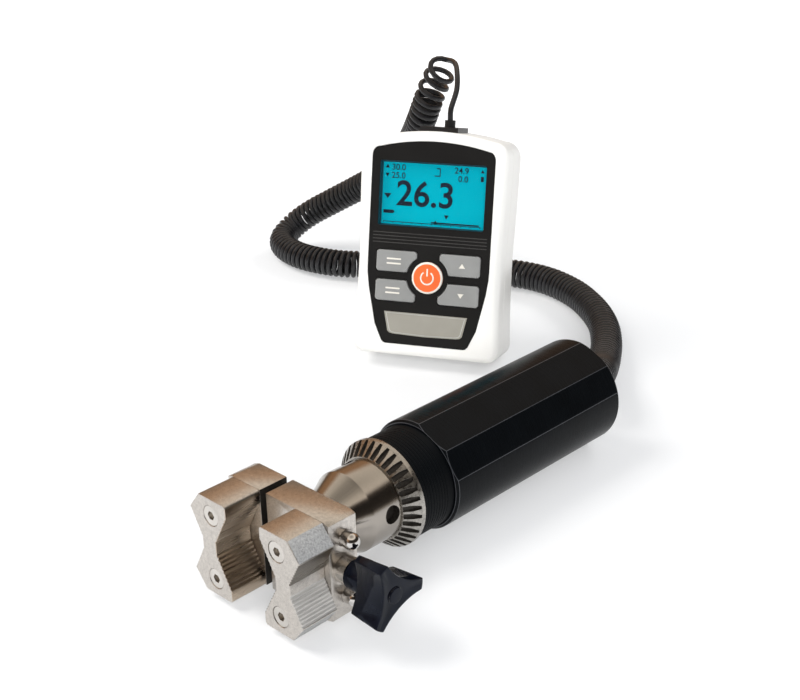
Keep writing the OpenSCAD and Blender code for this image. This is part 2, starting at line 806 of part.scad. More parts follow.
// A closed skin through sections of the outline, each [y, inset]
module skin(sections) {
    n = len(unit_outline(0));
    m = len(sections);
    points = concat(
        [for (s = sections) for (p = unit_outline(s[1])) [p[0], s[0], p[1]]],
        [[0, sections[0][0], waist_z], [0, sections[m - 1][0], waist_z]]
    );
    polyhedron(points, concat(
        [for (k = [0:m - 2], i = [0:n - 1]) let(j = (i + 1) % n) [k * n + i, k * n + j, (k + 1) * n + j]],
        [for (k = [0:m - 2], i = [0:n - 1]) let(j = (i + 1) % n) [k * n + i, (k + 1) * n + j, (k + 1) * n + i]],
        [for (i = [0:n - 1]) [m * n, (i + 1) % n, i]],
        [for (i = [0:n - 1]) [m * n + 1, (m - 1) * n + i, (m - 1) * n + (i + 1) % n]]
    ));
}

module overlay_shape(grow) {
    s = overlay_top_half + grow;
    polygon([
        [overlay_low_half + grow, overlay_low_z - grow], [overlay_low_half + 4 * overlay_corner / 3 + grow,
        overlay_low_z + 3 * overlay_corner], [s - overlay_corner / 3, overlay_knee_z - 3 * overlay_corner],
        [s, overlay_knee_z], [s, overlay_top_z - overlay_corner], [s - overlay_corner / 3, overlay_top_z],
        for (i = [-4:4]) [-(s - overlay_corner) * i / 4,
            overlay_top_z + grow + overlay_arch * (1 - pow(i / 4, 2))],
        [overlay_corner / 3 - s, overlay_top_z], [-s, overlay_top_z - overlay_corner], [-s, overlay_knee_z],
        [overlay_corner / 3 - s, overlay_knee_z - 3 * overlay_corner],
        [-overlay_low_half - 4 * overlay_corner / 3 - grow, overlay_low_z + 3 * overlay_corner],
        [-overlay_low_half - grow, overlay_low_z - grow]
    ]);
}

module screen_shape(grow) {
    translate([0, screen_z + screen_h / 2]) square([screen_w + 2 * grow, screen_h + 2 * grow], center = true);
}

// A key's shape: a rounded bar whose inner corner gives way to the ring round the power button
module key_shape(side, row, grow) {
    difference() {
        translate([side * (key_x + key_w / 2), key_row_z[row] + key_h / 2])
            polygon(rounded(key_w + 2 * grow, key_h + 2 * grow, key_corner + grow));
        translate([0, power_z]) circle(d = key_ring_d - 2 * grow, $fn = curve_fn);
    }
}

key_sides = [-1, 1];
key_rows = [0, 1];

module key_openings() {
    for (side = key_sides, row = key_rows) plate_y(-overrun, face_wall + overrun) key_shape(side, row, key_gap);
    translate([0, 0, power_z]) rod_y(power_d + 2 * key_gap, -overrun, face_wall + overrun);
}

module unit_boss_places() {
    for (s = [-1, 1], z = boss_z) translate([s * boss_x, 0, z]) children();
}

module plate_pocket() {
    translate([plate_x - plate_size[0] / 2, unit_depth / 2 - plate_size[1] / 2, plate_z])
        cube([plate_size[0], plate_size[1], plate_size[2] + overrun]);
}

module front_housing() {
    color([0.9, 0.89, 0.85]) on_unit() difference() {
        union() {
            difference() {
                skin([
                    for (s = round_shares) [round_r * s[1], round_r * s[0]],
                    [split_y, 0]
                ]);
                plate_y(face_wall, split_y + overrun) polygon(unit_outline(unit_wall));
            }
            unit_boss_places() rod_y(boss_d, face_wall - run_gap, split_y);
            for (s = [-1, 1], z = board_post_z) translate([s * board_post_x, 0, z])
                rod_y(board_post_d, face_wall - run_gap, board_front_y);
        }
        plate_y(-overrun, recess) overlay_shape(overlay_gap);
        plate_y(recess - overrun, recess + lens_len) screen_shape(lens_border + lens_gap);
        plate_y(0, face_wall + overrun) screen_shape(0);
        key_openings();
        unit_boss_places() rod_y(unit_screw_d, unit_screw_end_y, split_y + overrun);
        plate_pocket();
    }
}

module rear_housing() {
    color([0.88, 0.87, 0.83]) on_unit() difference() {
        union() {
            difference() {
                skin([
                    [split_y, 0],
                    for (i = [3:-1:0]) [unit_depth - round_r * round_shares[i][1], round_r * round_shares[i][0]]
                ]);
                plate_y(split_y - overrun, unit_depth - unit_wall) polygon(unit_outline(unit_wall));
            }
            unit_boss_places() rod_y(boss_d, split_y, unit_depth - unit_wall + run_gap);
        }
        unit_boss_places() {
            rod_y(unit_screw_d + 2 * run_gap, split_y - overrun, unit_depth + overrun);
            rod_y(unit_head_d + 2 * run_gap, unit_depth - unit_head_sink, unit_depth + overrun);
        }
        plate_pocket();
        translate([-bottom_half - overrun, board_front_y + main_board_size[1] + jack_size[1] / 2, jack_z])
            rod_x(jack_hole_d, 0, bottom_half / 2);
        translate([
            -bottom_half - overrun, board_front_y + main_board_size[1] + connector_size[1] / 2
            - connector_hole[0] / 2, connector_z - connector_hole[1] / 2
        ]) cube([bottom_half / 2, connector_hole[0], connector_hole[1]]);
    }
}

module housing_screws() {
    head_y = unit_depth - unit_head_sink;
    color([0.2, 0.2, 0.2]) on_unit() unit_boss_places() difference() {
        union() {
            rod_y(unit_screw_d, unit_screw_end_y, head_y);
            rod_y(unit_head_d, head_y, head_y + unit_head_sink / 2);
        }
        translate([0, head_y + unit_head_sink / 4, 0]) rotate([-90, 0, 0])
            cylinder(d = unit_screw_d, h = unit_head_sink, $fn = 6);
    }
}

module keypad_overlay() {
    color([0.2, 0.21, 0.22]) on_unit() difference() {
        plate_y(run_gap, recess) overlay_shape(0);
        plate_y(-overrun, recess + overrun) screen_shape(0);
        key_openings();
    }
}

module lcd_window() {
    color([0.75, 0.95, 0.98]) on_unit() plate_y(recess, recess + lens_len) screen_shape(lens_border);
}

module lcd_glass() {
    color([0.1, 0.75, 0.85]) on_unit()
        translate([-glass_size[0] / 2, face_wall, screen_z + screen_h / 2 - glass_size[2] / 2])
            cube(glass_size);
}

module lcd_frame() {
    w = glass_size[0];
    h = glass_size[2];
    y0 = face_wall + glass_size[1];
    z0 = screen_z + screen_h / 2 - h / 2;
    color([0.85, 0.85, 0.8]) on_unit() union() {
        translate([-w / 2, y0, z0]) cube([w, lcd_frame_len, h]);
        for (x = [-main_board_size[0] / 2, main_board_size[0] / 2 - lcd_frame_wall])
            translate([x, y0, z0]) cube([lcd_frame_wall, board_front_y - y0, h]);
    }
}

// A key's cap, the flange that keeps it in the housing and the stem that works its switch
module key(side, row) {
    stem_end = board_front_y - switch_len - key_travel - pass_gap;
    color([0.5, 0.51, 0.52]) on_unit() union() {
        plate_y(-key_rise, face_wall + pass_gap) key_shape(side, row, 0);
        plate_y(face_wall + pass_gap, face_wall + pass_gap + key_flange_len) intersection() {
            key_shape(side, row, key_flange);
            translate([side * (key_x + key_w), key_row_z[row] + key_h / 2])
                square([2 * key_w, key_h + key_gap], center = true);
        }
        translate([side * (key_x + key_w / 2 + key_corner), 0, key_row_z[row] + key_h / 2])
            rod_y(key_stem_d, face_wall + pass_gap, stem_end);
    }
}

module menu_key() key(-1, 0);
module data_key() key(-1, 1);
module zero_key() key(1, 0);
module mode_key() key(1, 1);

module power_button() {
    color([0.93, 0.38, 0.1]) on_unit() translate([0, 0, power_z]) union() {
        rod_y(power_d, -key_rise, face_wall + pass_gap);
        rod_y(power_d + 2 * key_flange, face_wall + pass_gap, face_wall + pass_gap + key_flange_len);
        rod_y(key_stem_d, face_wall + pass_gap, board_front_y - switch_len - key_travel - pass_gap);
    }
}

module button_switches() {
    color([0.15, 0.15, 0.15]) on_unit() {
        for (side = key_sides, row = key_rows)
            translate([side * (key_x + key_w / 2 + key_corner), 0, key_row_z[row] + key_h / 2])
                rod_y(switch_d, board_front_y - switch_len, board_front_y);
        translate([0, 0, power_z]) rod_y(switch_d, board_front_y - switch_len, board_front_y);
    }
}

module main_board() {
    color([0.05, 0.32, 0.15]) on_unit()
        translate([-main_board_size[0] / 2, board_front_y, main_board_z]) cube(main_board_size);
}

cell_y = unit_depth - unit_wall - run_gap - cell_d / 2;

module battery_cells() {
    color([0.1, 0.25, 0.55]) on_unit() for (i = [0:cell_count - 1])
        translate([0, cell_y, cell_z + i * (cell_d + run_gap)]) rod_x(cell_d, -cell_len / 2, cell_len / 2);
}

module battery_holder() {
    board_back = board_front_y + main_board_size[1];
    color([0.1, 0.1, 0.1]) on_unit() difference() {
        translate([-cell_len / 2 - holder_wall, board_back, cell_z - cell_d / 2 - holder_wall])
            cube([cell_len + 2 * holder_wall, cell_y - board_back, holder_h + holder_wall]);
        for (i = [0:cell_count - 1]) translate([0, cell_y, cell_z + i * (cell_d + run_gap)])
            rod_x(cell_d + 2 * run_gap, -cell_len / 2 - run_gap, cell_len / 2 + run_gap);
        translate([-cell_len / 2, board_back + 2 * run_gap + holder_wall, cell_z])
            cube([cell_len, cell_d, cell_d]);
    }
}

module charge_jack() {
    board_back = board_front_y + main_board_size[1];
    x0 = unit_wall + pass_gap - side_half(jack_z);
    color([0.12, 0.12, 0.12]) on_unit() difference() {
        union() {
            translate([x0, board_back, jack_z - jack_size[2] / 2])
                cube([-main_board_size[0] / 2 + jack_size[0] - x0, jack_size[1], jack_size[2]]);
            translate([0, board_back + jack_size[1] / 2, jack_z])
                rod_x(jack_nose_d, jack_nose_in - side_half(jack_z), x0 + overrun);
        }
        translate([0, board_back + jack_size[1] / 2, jack_z])
            rod_x(jack_nose_d / 2, -bottom_half, x0 + jack_size[0]);
    }
}

module output_connector() {
    board_back = board_front_y + main_board_size[1];
    x0 = unit_wall + pass_gap - side_half(connector_z);
    color([0.7, 0.7, 0.7]) on_unit() difference() {
        translate([x0, board_back, connector_z - connector_size[2] / 2])
            cube([-main_board_size[0] / 2 + connector_size[0] - x0, connector_size[1], connector_size[2]]);
        translate([
            x0 - overrun, board_back + connector_size[1] / 2 - connector_hole[0] / 2,
            connector_z - connector_hole[1] / 2
        ]) cube([connector_size[0] / 2, connector_hole[0], connector_hole[1]]);
    }
}

module label_plate() {
    color([0.72, 0.69, 0.6]) on_unit() plate_y(run_gap - label_len, run_gap) polygon([
        [label_low_half, label_low_z], [label_top_half, label_top_z],
        [-label_top_half, label_top_z], [-label_low_half, label_low_z]
    ]);
}

module sensor_plate() {
    color([0.06, 0.06, 0.06]) on_unit() difference() {
        translate([plate_x - plate_size[0] / 2, unit_depth / 2 - plate_size[1] / 2, plate_z])
            cube(plate_size);
        translate([boot_x, unit_depth / 2, plate_z - overrun])
            cylinder(d = cord_d + run_gap, h = plate_size[2] + 2 * overrun, $fn = curve_fn);
    }
}

module cord_boot() {
    color([0.04, 0.04, 0.04]) on_unit() translate([boot_x, unit_depth / 2, plate_z + plate_size[2]])
        cylinder(d = boot_d, h = boot_len, $fn = curve_fn);
}

// Cord. Where a point of the display unit lies on the table:
function unit_point(p) = let(
    a = [p[0], p[1] * cos(unit_lean) + p[2] * sin(unit_lean), p[2] * cos(unit_lean) - p[1] * sin(unit_lean)]
) [
    unit_x + a[0] * cos(unit_turn) - a[1] * sin(unit_turn),
    unit_y + a[0] * sin(unit_turn) + a[1] * cos(unit_turn),
    unit_lift + a[2]
];

boot_top = plate_z + plate_size[2] + boot_len;
cord_start = unit_point([boot_x, unit_depth / 2, boot_top]);
cord_out = unit_point([boot_x, unit_depth / 2, boot_top + end_run]) - cord_start;
gland_face = [tube_x, tube_y + cap_y + cap_len + gland_head_len, tube_d / 2];

function unit(v) = v / norm(v);
// A smooth line through points a, b, c, d, from b at t = 0 to c at t = 1, and its direction there
function smooth(a, b, c, d, t) = b + (c - a) * t / 2 + (2 * a - 5 * b + 4 * c - d) * t * t / 2
    + (3 * b - a - 3 * c + d) * t * t * t / 2;
function along(a, b, c, d, t) = unit((c - a) / 2 + (2 * a - 5 * b + 4 * c - d) * t
    + (3 * b - a - 3 * c + d) * t * t * 3 / 2);

lead_line = concat([cord_start, cord_start + cord_out], lead_route, [curl_route[0]]);
curl_line = concat(curl_route, [gland_face + [0, end_run, 0], gland_face]);

function neighbour(line, i) = i < 0 ? 2 * line[0] - line[1]
    : i >= len(line) ? 2 * line[len(line) - 1] - line[len(line) - 2] : line[i];
function sum_to(v, i) = i == 0 ? 0 : v[i - 1] + sum_to(v, i - 1);

// Each ring of a tube is [centre, direction of the route, a direction square to it]
function curl_rings(line, before, after) = let(
    last = len(line) - 1, total = sum_to(curl_spans, last)
) [
    for (i = [0:last - 1]) let(steps = max(2, round(rings_per_curl * curl_spans[i])))
        for (j = [0:(i == last - 1 ? steps : steps - 1)]) let(
            t = j / steps,
            a = i == 0 ? before : line[i - 1], b = line[i], c = line[i + 1],
            d = i == last - 1 ? after : line[i + 2],
            turns = sum_to(curl_spans, i) + curl_spans[i] * t,
            ramp = min(1, turns / curl_ramp, (total - turns) / curl_ramp),
            dir = along(a, b, c, d, t), side = unit(cross(side_hint, dir)),
            out = side * cos(360 * turns) + cross(dir, side) * sin(360 * turns)
        ) [smooth(a, b, c, d, t) + curl_r * ramp * ramp * (3 - 2 * ramp) * out, dir, out]
];

function lead_rings_of(line, after) = let(last = len(line) - 1) [
    for (i = [0:last - 1]) for (j = [0:(i == last - 1 ? lead_rings : lead_rings - 1)]) let(
        t = j / lead_rings, a = neighbour(line, i - 1), b = line[i], c = line[i + 1],
        d = i == last - 1 ? after : line[i + 2], dir = along(a, b, c, d, t)
    ) [smooth(a, b, c, d, t), dir, unit(cross(side_hint, dir))]
];

// One closed tube round the rings
module tube(rings, sides, d) {
    n = len(rings);
    points = [
        for (k = [0:n - 1]) let(
            dir = k == 0 || k == n - 1 ? rings[k][1] : unit(rings[k + 1][0] - rings[k - 1][0]),
            u = unit(rings[k][2] - dir * (rings[k][2] * dir)), v = cross(dir, u)
        ) for (i = [0:sides - 1]) rings[k][0] + d / 2 * (u * cos(360 * i / sides) + v * sin(360 * i / sides))
    ];
    polyhedron(concat(points, [rings[0][0], rings[n - 1][0]]), concat(
        [for (k = [0:n - 2], i = [0:sides - 1]) let(j = (i + 1) % sides)
            [k * sides + j, k * sides + i, (k + 1) * sides + i]],
        [for (k = [0:n - 2], i = [0:sides - 1]) let(j = (i + 1) % sides)
            [k * sides + j, (k + 1) * sides + i, (k + 1) * sides + j]],
        [for (i = [0:sides - 1]) [n * sides, i, (i + 1) % sides]],
        [for (i = [0:sides - 1]) [n * sides + 1, (n - 1) * sides + (i + 1) % sides, (n - 1) * sides + i]]
    ));
}

rings_lead = lead_rings_of(lead_line, curl_line[1]);
rings_curl = curl_rings(curl_line, lead_route[len(lead_route) - 1], neighbour(curl_line, len(curl_line)));

// The least gap of the curly cord to itself, between rings that are more than half a curl apart
function nearest_on(rings, k) = min([
    for (m = [k + 5:min(k + 3 * rings_per_curl, len(rings) - 1)]) norm(rings[k][0] - rings[m][0])
]);
function nearest_off(rings, k) = min([
    for (m = [k + 3 * rings_per_curl:4:len(rings) - 1]) norm(rings[k][0] - rings[m][0])
]);
curl_gap = min([for (k = [0:len(rings_curl) - 6]) nearest_on(rings_curl, k)]) - cord_d;
stretch_gap = min([
    for (k = [0:4:len(rings_curl) - 3 * rings_per_curl - 1]) nearest_off(rings_curl, k)
]) - cord_d;
echo(least_gap = min(curl_gap, stretch_gap), curls = sum_to(curl_spans, len(curl_spans)));

module cord_lead() {
    color([0.04, 0.04, 0.045]) tube(rings_lead, lead_sides, cord_d);
}

module curly_cord() {
    color([0.04, 0.04, 0.045]) tube(rings_curl, curl_sides, cord_d);
}

handle_tube();
rear_cap();
rear_cap_screws();
cord_gland();
torque_sensor();
strain_gauges();
board_posts();
amplifier_board();
front_collar();
bearing_outer_race();
bearing_inner_race();
bearing_balls();
chuck_body();
chuck_sleeve();
chuck_nut();
chuck_jaw_1();
chuck_jaw_2();
chuck_jaw_3();
gripper_shank();
fixed_base();
fixed_finger();
fixed_finger_screws();
moving_base();
moving_finger();
moving_finger_screws();
upper_guide_rod();
lower_guide_rod();
lead_screw();
screw_bush();
screw_clip();
knob();
knob_set_screw();
front_housing();
rear_housing();
housing_screws();
keypad_overlay();
lcd_window();
lcd_glass();
lcd_frame();
power_button();
menu_key();
data_key();
zero_key();
mode_key();
button_switches();
main_board();
battery_cells();
battery_holder();
charge_jack();
output_connector();
label_plate();
sensor_plate();
cord_boot();
cord_lead();
curly_cord();
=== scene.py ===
# Looks for the cap torque meter: materials, detailed shells, knob, geared sleeve, cord, light and camera.
# Lengths in the helpers are millimetres; objects are in metres.
import bpy
import bmesh
import json
import math
from mathutils import Matrix, Vector


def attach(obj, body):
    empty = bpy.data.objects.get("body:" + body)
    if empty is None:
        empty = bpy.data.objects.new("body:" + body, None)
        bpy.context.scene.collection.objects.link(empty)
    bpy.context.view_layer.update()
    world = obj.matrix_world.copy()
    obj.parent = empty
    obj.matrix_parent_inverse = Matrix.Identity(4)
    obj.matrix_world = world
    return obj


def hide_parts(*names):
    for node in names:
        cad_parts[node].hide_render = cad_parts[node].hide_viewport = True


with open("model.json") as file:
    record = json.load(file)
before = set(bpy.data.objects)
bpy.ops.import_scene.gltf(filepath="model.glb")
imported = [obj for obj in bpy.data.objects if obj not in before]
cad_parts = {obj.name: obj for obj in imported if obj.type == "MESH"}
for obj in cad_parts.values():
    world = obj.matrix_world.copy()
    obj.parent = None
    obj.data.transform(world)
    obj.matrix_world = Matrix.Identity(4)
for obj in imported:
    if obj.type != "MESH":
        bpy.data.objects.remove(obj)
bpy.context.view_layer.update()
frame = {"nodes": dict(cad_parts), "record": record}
nodes = frame["nodes"]
MM = 0.001

# Places, as in the part's source. TUBE is the middle of the handle tube's front end, with the axis along Y.
# UNIT is the middle of the display unit's lower front edge, with X across its face and Z up it. LIFT is how
# far the lean raises that edge off the floor.
AXIS_X, FRONT_Y, AXIS_Z = 49.0, -41.5, 22.225
TUBE = Matrix.Translation((AXIS_X, FRONT_Y, AXIS_Z))
TUBE_L = 94
TURN = math.radians(27.8)
LEAN = math.radians(15)
DEPTH = 30.2
UNIT_H = 105.9
EDGE_R = 3
LIFT = (DEPTH - EDGE_R) * math.sin(LEAN) + EDGE_R * (1 - math.cos(LEAN))
UNIT = Matrix.Translation((-44.2, 61.4, LIFT))
UNIT = UNIT @ Matrix.Rotation(TURN, 4, "Z") @ Matrix.Rotation(-LEAN, 4, "X")


# Shader nodes
def feed(tree, socket, value):
    """Gives a socket another node's output, a number or a colour."""
    if isinstance(value, bpy.types.NodeSocket):
        tree.links.new(value, socket)
    else:
        socket.default_value = value


def wired(tree, kind, inputs, **settings):
    """A new node with its settings made and its inputs fed."""
    made = tree.nodes.new(kind)
    for key, value in settings.items():
        setattr(made, key, value)
    for socket, value in inputs.items():
        feed(tree, made.inputs[socket], value)
    return made


def maths(tree, operation, *values):
    return wired(tree, "ShaderNodeMath", dict(enumerate(values)), operation=operation).outputs[0]


def ranged(tree, fac, low, high, lo=0.0, hi=1.0):
    """Maps fac between low and high onto lo to hi."""
    return wired(tree, "ShaderNodeMapRange", {0: fac, 1: low, 2: high, 3: lo, 4: hi}).outputs[0]


def color_ramp(tree, fac, stops):
    """A colour ramp over fac, through stops of a place and a colour."""
    made = wired(tree, "ShaderNodeValToRGB", {0: fac})
    elements = made.color_ramp.elements
    for i, (place, color) in enumerate((stops[0], stops[-1])):
        elements[i].position = place
        elements[i].color = (*color, 1)
    for place, color in stops[1:-1]:
        elements.new(place).color = (*color, 1)
    return made.outputs[0]


def mixed(tree, fac, first, second):
    """A mix of two shader nodes."""
    return wired(tree, "ShaderNodeMixShader", {0: fac, 1: first.outputs[0], 2: second.outputs[0]})


# Materials
LOW, HIGH = 0.3, 0.7


def tone(color, k):
    return tuple(min(1.0, c * k) for c in color)


class Paint:
    """A Principled material with procedural colour, roughness and relief."""

    def __init__(self, name, color, rough, metal=0.0, coat=0.0, coat_rough=0.1, spec=0.5):
        self.mat = bpy.data.materials.new(name)
        self.mat.use_nodes = True
        self.tree = self.mat.node_tree
        self.bsdf = self.tree.nodes["Principled BSDF"]
        self.coords = wired(self.tree, "ShaderNodeTexCoord", {}).outputs["Object"]
        self.color = color
        self.height = []
        self.put("Base Color", (*color, 1))
        self.put("Roughness", rough)
        self.put("Metallic", metal)
        self.put("Coat Weight", coat)
        self.put("Coat Roughness", coat_rough)
        self.put("Specular IOR Level", spec)
        self.put("IOR", 1.5)

    def put(self, name, value):
        feed(self.tree, self.bsdf.inputs[name], value)

    def math(self, operation, *values):
        return maths(self.tree, operation, *values)

    def noise(self, scale, detail=3.0, rough=0.55):
        """Noise over object coordinates, at one scale or at one for each axis."""
        scales = scale if isinstance(scale, tuple) else (scale,) * 3
        grown = wired(self.tree, "ShaderNodeMapping", {"Vector": self.coords, "Scale": scales})
        inputs = {"Vector": grown.outputs["Vector"], "Scale": 1.0, "Detail": detail, "Roughness": rough}
        return wired(self.tree, "ShaderNodeTexNoise", inputs).outputs["Fac"]

    def turned(self, per_mm):
        """Fine rings about the handle's axis, as a lathe leaves them."""
        at = wired(self.tree, "ShaderNodeSeparateXYZ", {0: self.coords}).outputs
        dx = self.math("SUBTRACT", at["X"], AXIS_X * MM)
        dz = self.math("SUBTRACT", at["Z"], AXIS_Z * MM)
        r = self.math("SQRT", self.math("ADD", self.math("MULTIPLY", dx, dx), self.math("MULTIPLY", dz, dz)))
        along = self.math("MULTIPLY", self.math("ADD", at["Y"], r), per_mm / MM)
        inputs = {"W": along, "Scale": 1.0, "Detail": 4.0}
        return wired(self.tree, "ShaderNodeTexNoise", inputs, noise_dimensions="1D").outputs["Fac"]

    def shade(self, fac, darker, lighter, low=LOW, high=HIGH):
        """Varies the colour between two multiples of it."""
        stops = ((low, tone(self.color, darker)), (high, tone(self.color, lighter)))
        self.put("Base Color", color_ramp(self.tree, fac, stops))

    def gloss(self, fac, lo, hi):
        """Varies the roughness between two values."""
        self.put("Roughness", ranged(self.tree, fac, LOW, HIGH, lo, hi))

    def relief(self, fac, strength, depth_mm):
        self.height.append((fac, strength, depth_mm * MM))

    def done(self, round_mm=0.0):
        """Adds rounded edges and the reliefs to the normal, and gives the material."""
        normal = None
        if round_mm:
            normal = wired(self.tree, "ShaderNodeBevel", {"Radius": round_mm * MM}, samples=4).outputs[0]
        for fac, strength, distance in self.height:
            inputs = {"Strength": strength, "Distance": distance, "Height": fac}
            if normal is not None:
                inputs["Normal"] = normal
            normal = wired(self.tree, "ShaderNodeBump", inputs).outputs[0]
        if normal is not None:
            self.put("Normal", normal)
        return self.mat


def plain(name, color, rough, metal=0.0, grain=900.0, depth=0.02, spread=0.12, round_mm=0.0):
    """Moulded or machined stuff with a fine grain, slight colour variation and uneven gloss."""
    p = Paint(name, color, rough, metal)
    p.shade(p.noise(90.0, 2.0), 1 - spread, 1 + spread)
    fine = p.noise(grain * 2.0, 4.0)
    p.gloss(fine, rough * 0.8, min(1.0, rough * 1.2))
    p.relief(fine, 0.5, depth)
    return p.done(round_mm)


def nickel():
    p = Paint("nickel_plate", (0.57, 0.535, 0.495), 0.3, 1.0)
    p.shade(p.noise(650.0, 6.0, 0.75), 0.8, 1.2)
    blast = p.noise(5200.0, 2.0)
    p.gloss(blast, 0.22, 0.42)
    p.relief(blast, 0.35, 0.03)
    p.relief(p.noise((900.0, 60.0, 900.0)), 0.25, 0.02)
    return p.done(0.22)


def vee_painted_light_and_shade(name, color, rough=0.3, metal=1.0):
    """The streaked, unpolished flanks of the V grooves, in a colour that is painted shade, painted reflection
    or painted light, as each face group is given one.
    """
    p = Paint(name, color, rough, metal)
    streak = p.noise((500.0, 60.0, 900.0), 4.0)
    p.shade(streak, 0.84, 1.16)
    p.gloss(streak, 0.22, 0.4)
    p.relief(streak, 0.4, 0.02)
    return p.done(0.12)


def cast_grey():
    """A rough, granular face that was never machined."""
    p = Paint("cast_grey", (0.36, 0.36, 0.355), 0.55, 0.35)
    grit = p.noise(1500.0, 5.0, 0.7)
    p.shade(grit, 0.6, 1.45, 0.32, 0.68)
    p.gloss(grit, 0.4, 0.7)
    p.relief(grit, 0.8, 0.12)
    return p.done(0.15)


# Painted shade: a near-black for faces deep in gaps and holes, where little light reaches
def painted_gap_shade():
    p = Paint("painted_gap_shade", (0.028, 0.024, 0.02), 0.5, 0.6)
    cloud = p.noise(1200.0)
    p.shade(cloud, 0.5, 1.6)
    p.gloss(cloud, 0.4, 0.65)
    p.relief(cloud, 0.4, 0.03)
    return p.done()


def turned_steel():
    p = Paint("chuck_steel", (0.37, 0.34, 0.305), 0.2, 1.0)
    rings = p.turned(9.0)
    p.shade(rings, 0.85, 1.12)
    p.gloss(rings, 0.1, 0.2)
    p.relief(rings, 0.5, 0.012)
    p.relief(p.noise(300.0), 0.3, 0.03)
    return p.done(0.2)


def tooth_steel():
    p = Paint("sleeve_steel", (0.42, 0.4, 0.37), 0.3, 1.0)
    cloud = p.noise(700.0, 4.0)
    p.shade(cloud, 0.75, 1.2)
    p.gloss(cloud, 0.2, 0.4)
    p.relief(p.noise(2600.0), 0.4, 0.03)
    return p.done(0.12)


def anodised(name, per_mm, depth, rough):
    p = Paint(name, (0.0018, 0.0024, 0.0031), rough, spec=0.08)
    rings = p.turned(per_mm)
    p.shade(p.noise(60.0), 0.8, 1.3)
    p.gloss(rings, rough * 0.85, rough * 1.2)
    p.relief(rings, 0.5, depth)
    return p.done(0.25)


def housing():
    p = Paint("white_housing", (0.80, 0.785, 0.745), 0.33, coat=0.1, coat_rough=0.2)
    p.shade(p.noise(30.0), 0.975, 1.02)
    grain = p.noise(2400.0, 2.0)
    p.gloss(grain, 0.28, 0.4)
    p.relief(grain, 0.25, 0.02)
    return p.done(0.25)


def film():
    p = Paint("charcoal_overlay", (0.0085, 0.0083, 0.008), 0.45, spec=0.25)
    p.shade(p.noise(40.0, 2.0), 0.85, 1.15)
    weave = p.noise(3500.0, 2.0)
    p.gloss(weave, 0.36, 0.5)
    p.relief(weave, 0.3, 0.015)
    return p.done(0.1)


def backlight():
    p = Paint("cyan_lcd", (0.0, 0.32, 0.405), 0.5, spec=0.0)
    stops = ((0.35, (0.0, 0.3, 0.385)), (0.65, (0.0, 0.34, 0.425)))
    glow = color_ramp(p.tree, p.noise((18.0, 18.0, 25.0), 1.0), stops)
    p.put("Base Color", glow)
    p.put("Emission Color", glow)
    p.put("Emission Strength", 0.3)
    dots = wired(p.tree, "ShaderNodeTexChecker", {"Vector": p.coords, "Scale": 4200.0})
    p.relief(dots.outputs["Fac"], 0.1, 0.01)
    return p.done()


def clear():
    p = Paint("clear_window", (0.02, 0.05, 0.06), 0.06, spec=0.3)
    p.put("Alpha", 0.06)
    p.gloss(p.noise(200.0), 0.04, 0.1)
    return p.done()


def cord_skin():
    p = Paint("cord_jacket", (0.009, 0.009, 0.010), 0.36, 0.0, 0.15, 0.3, 0.45)
    p.shade(p.noise(250.0, 2.0), 0.7, 1.6)
    fine = p.noise(2200.0, 2.0)
    p.gloss(fine, 0.28, 0.46)
    p.relief(fine, 0.3, 0.02)
    return p.done()


def glossy_black():
    # The bluish colour and the blue specular tint are a painted blue reflection on the glossy black knob
    p = Paint("black_knob", (0.0032, 0.0038, 0.0068), 0.06, spec=0.15)
    p.put("Specular Tint", (0.72, 0.82, 1.0, 1))
    wave = p.noise(220.0, 2.0)
    p.shade(wave, 0.7, 1.4)
    p.gloss(wave, 0.05, 0.11)
    p.relief(wave, 0.25, 0.05)
    p.relief(p.noise(2500.0), 0.15, 0.01)
    return p.done(0.2)


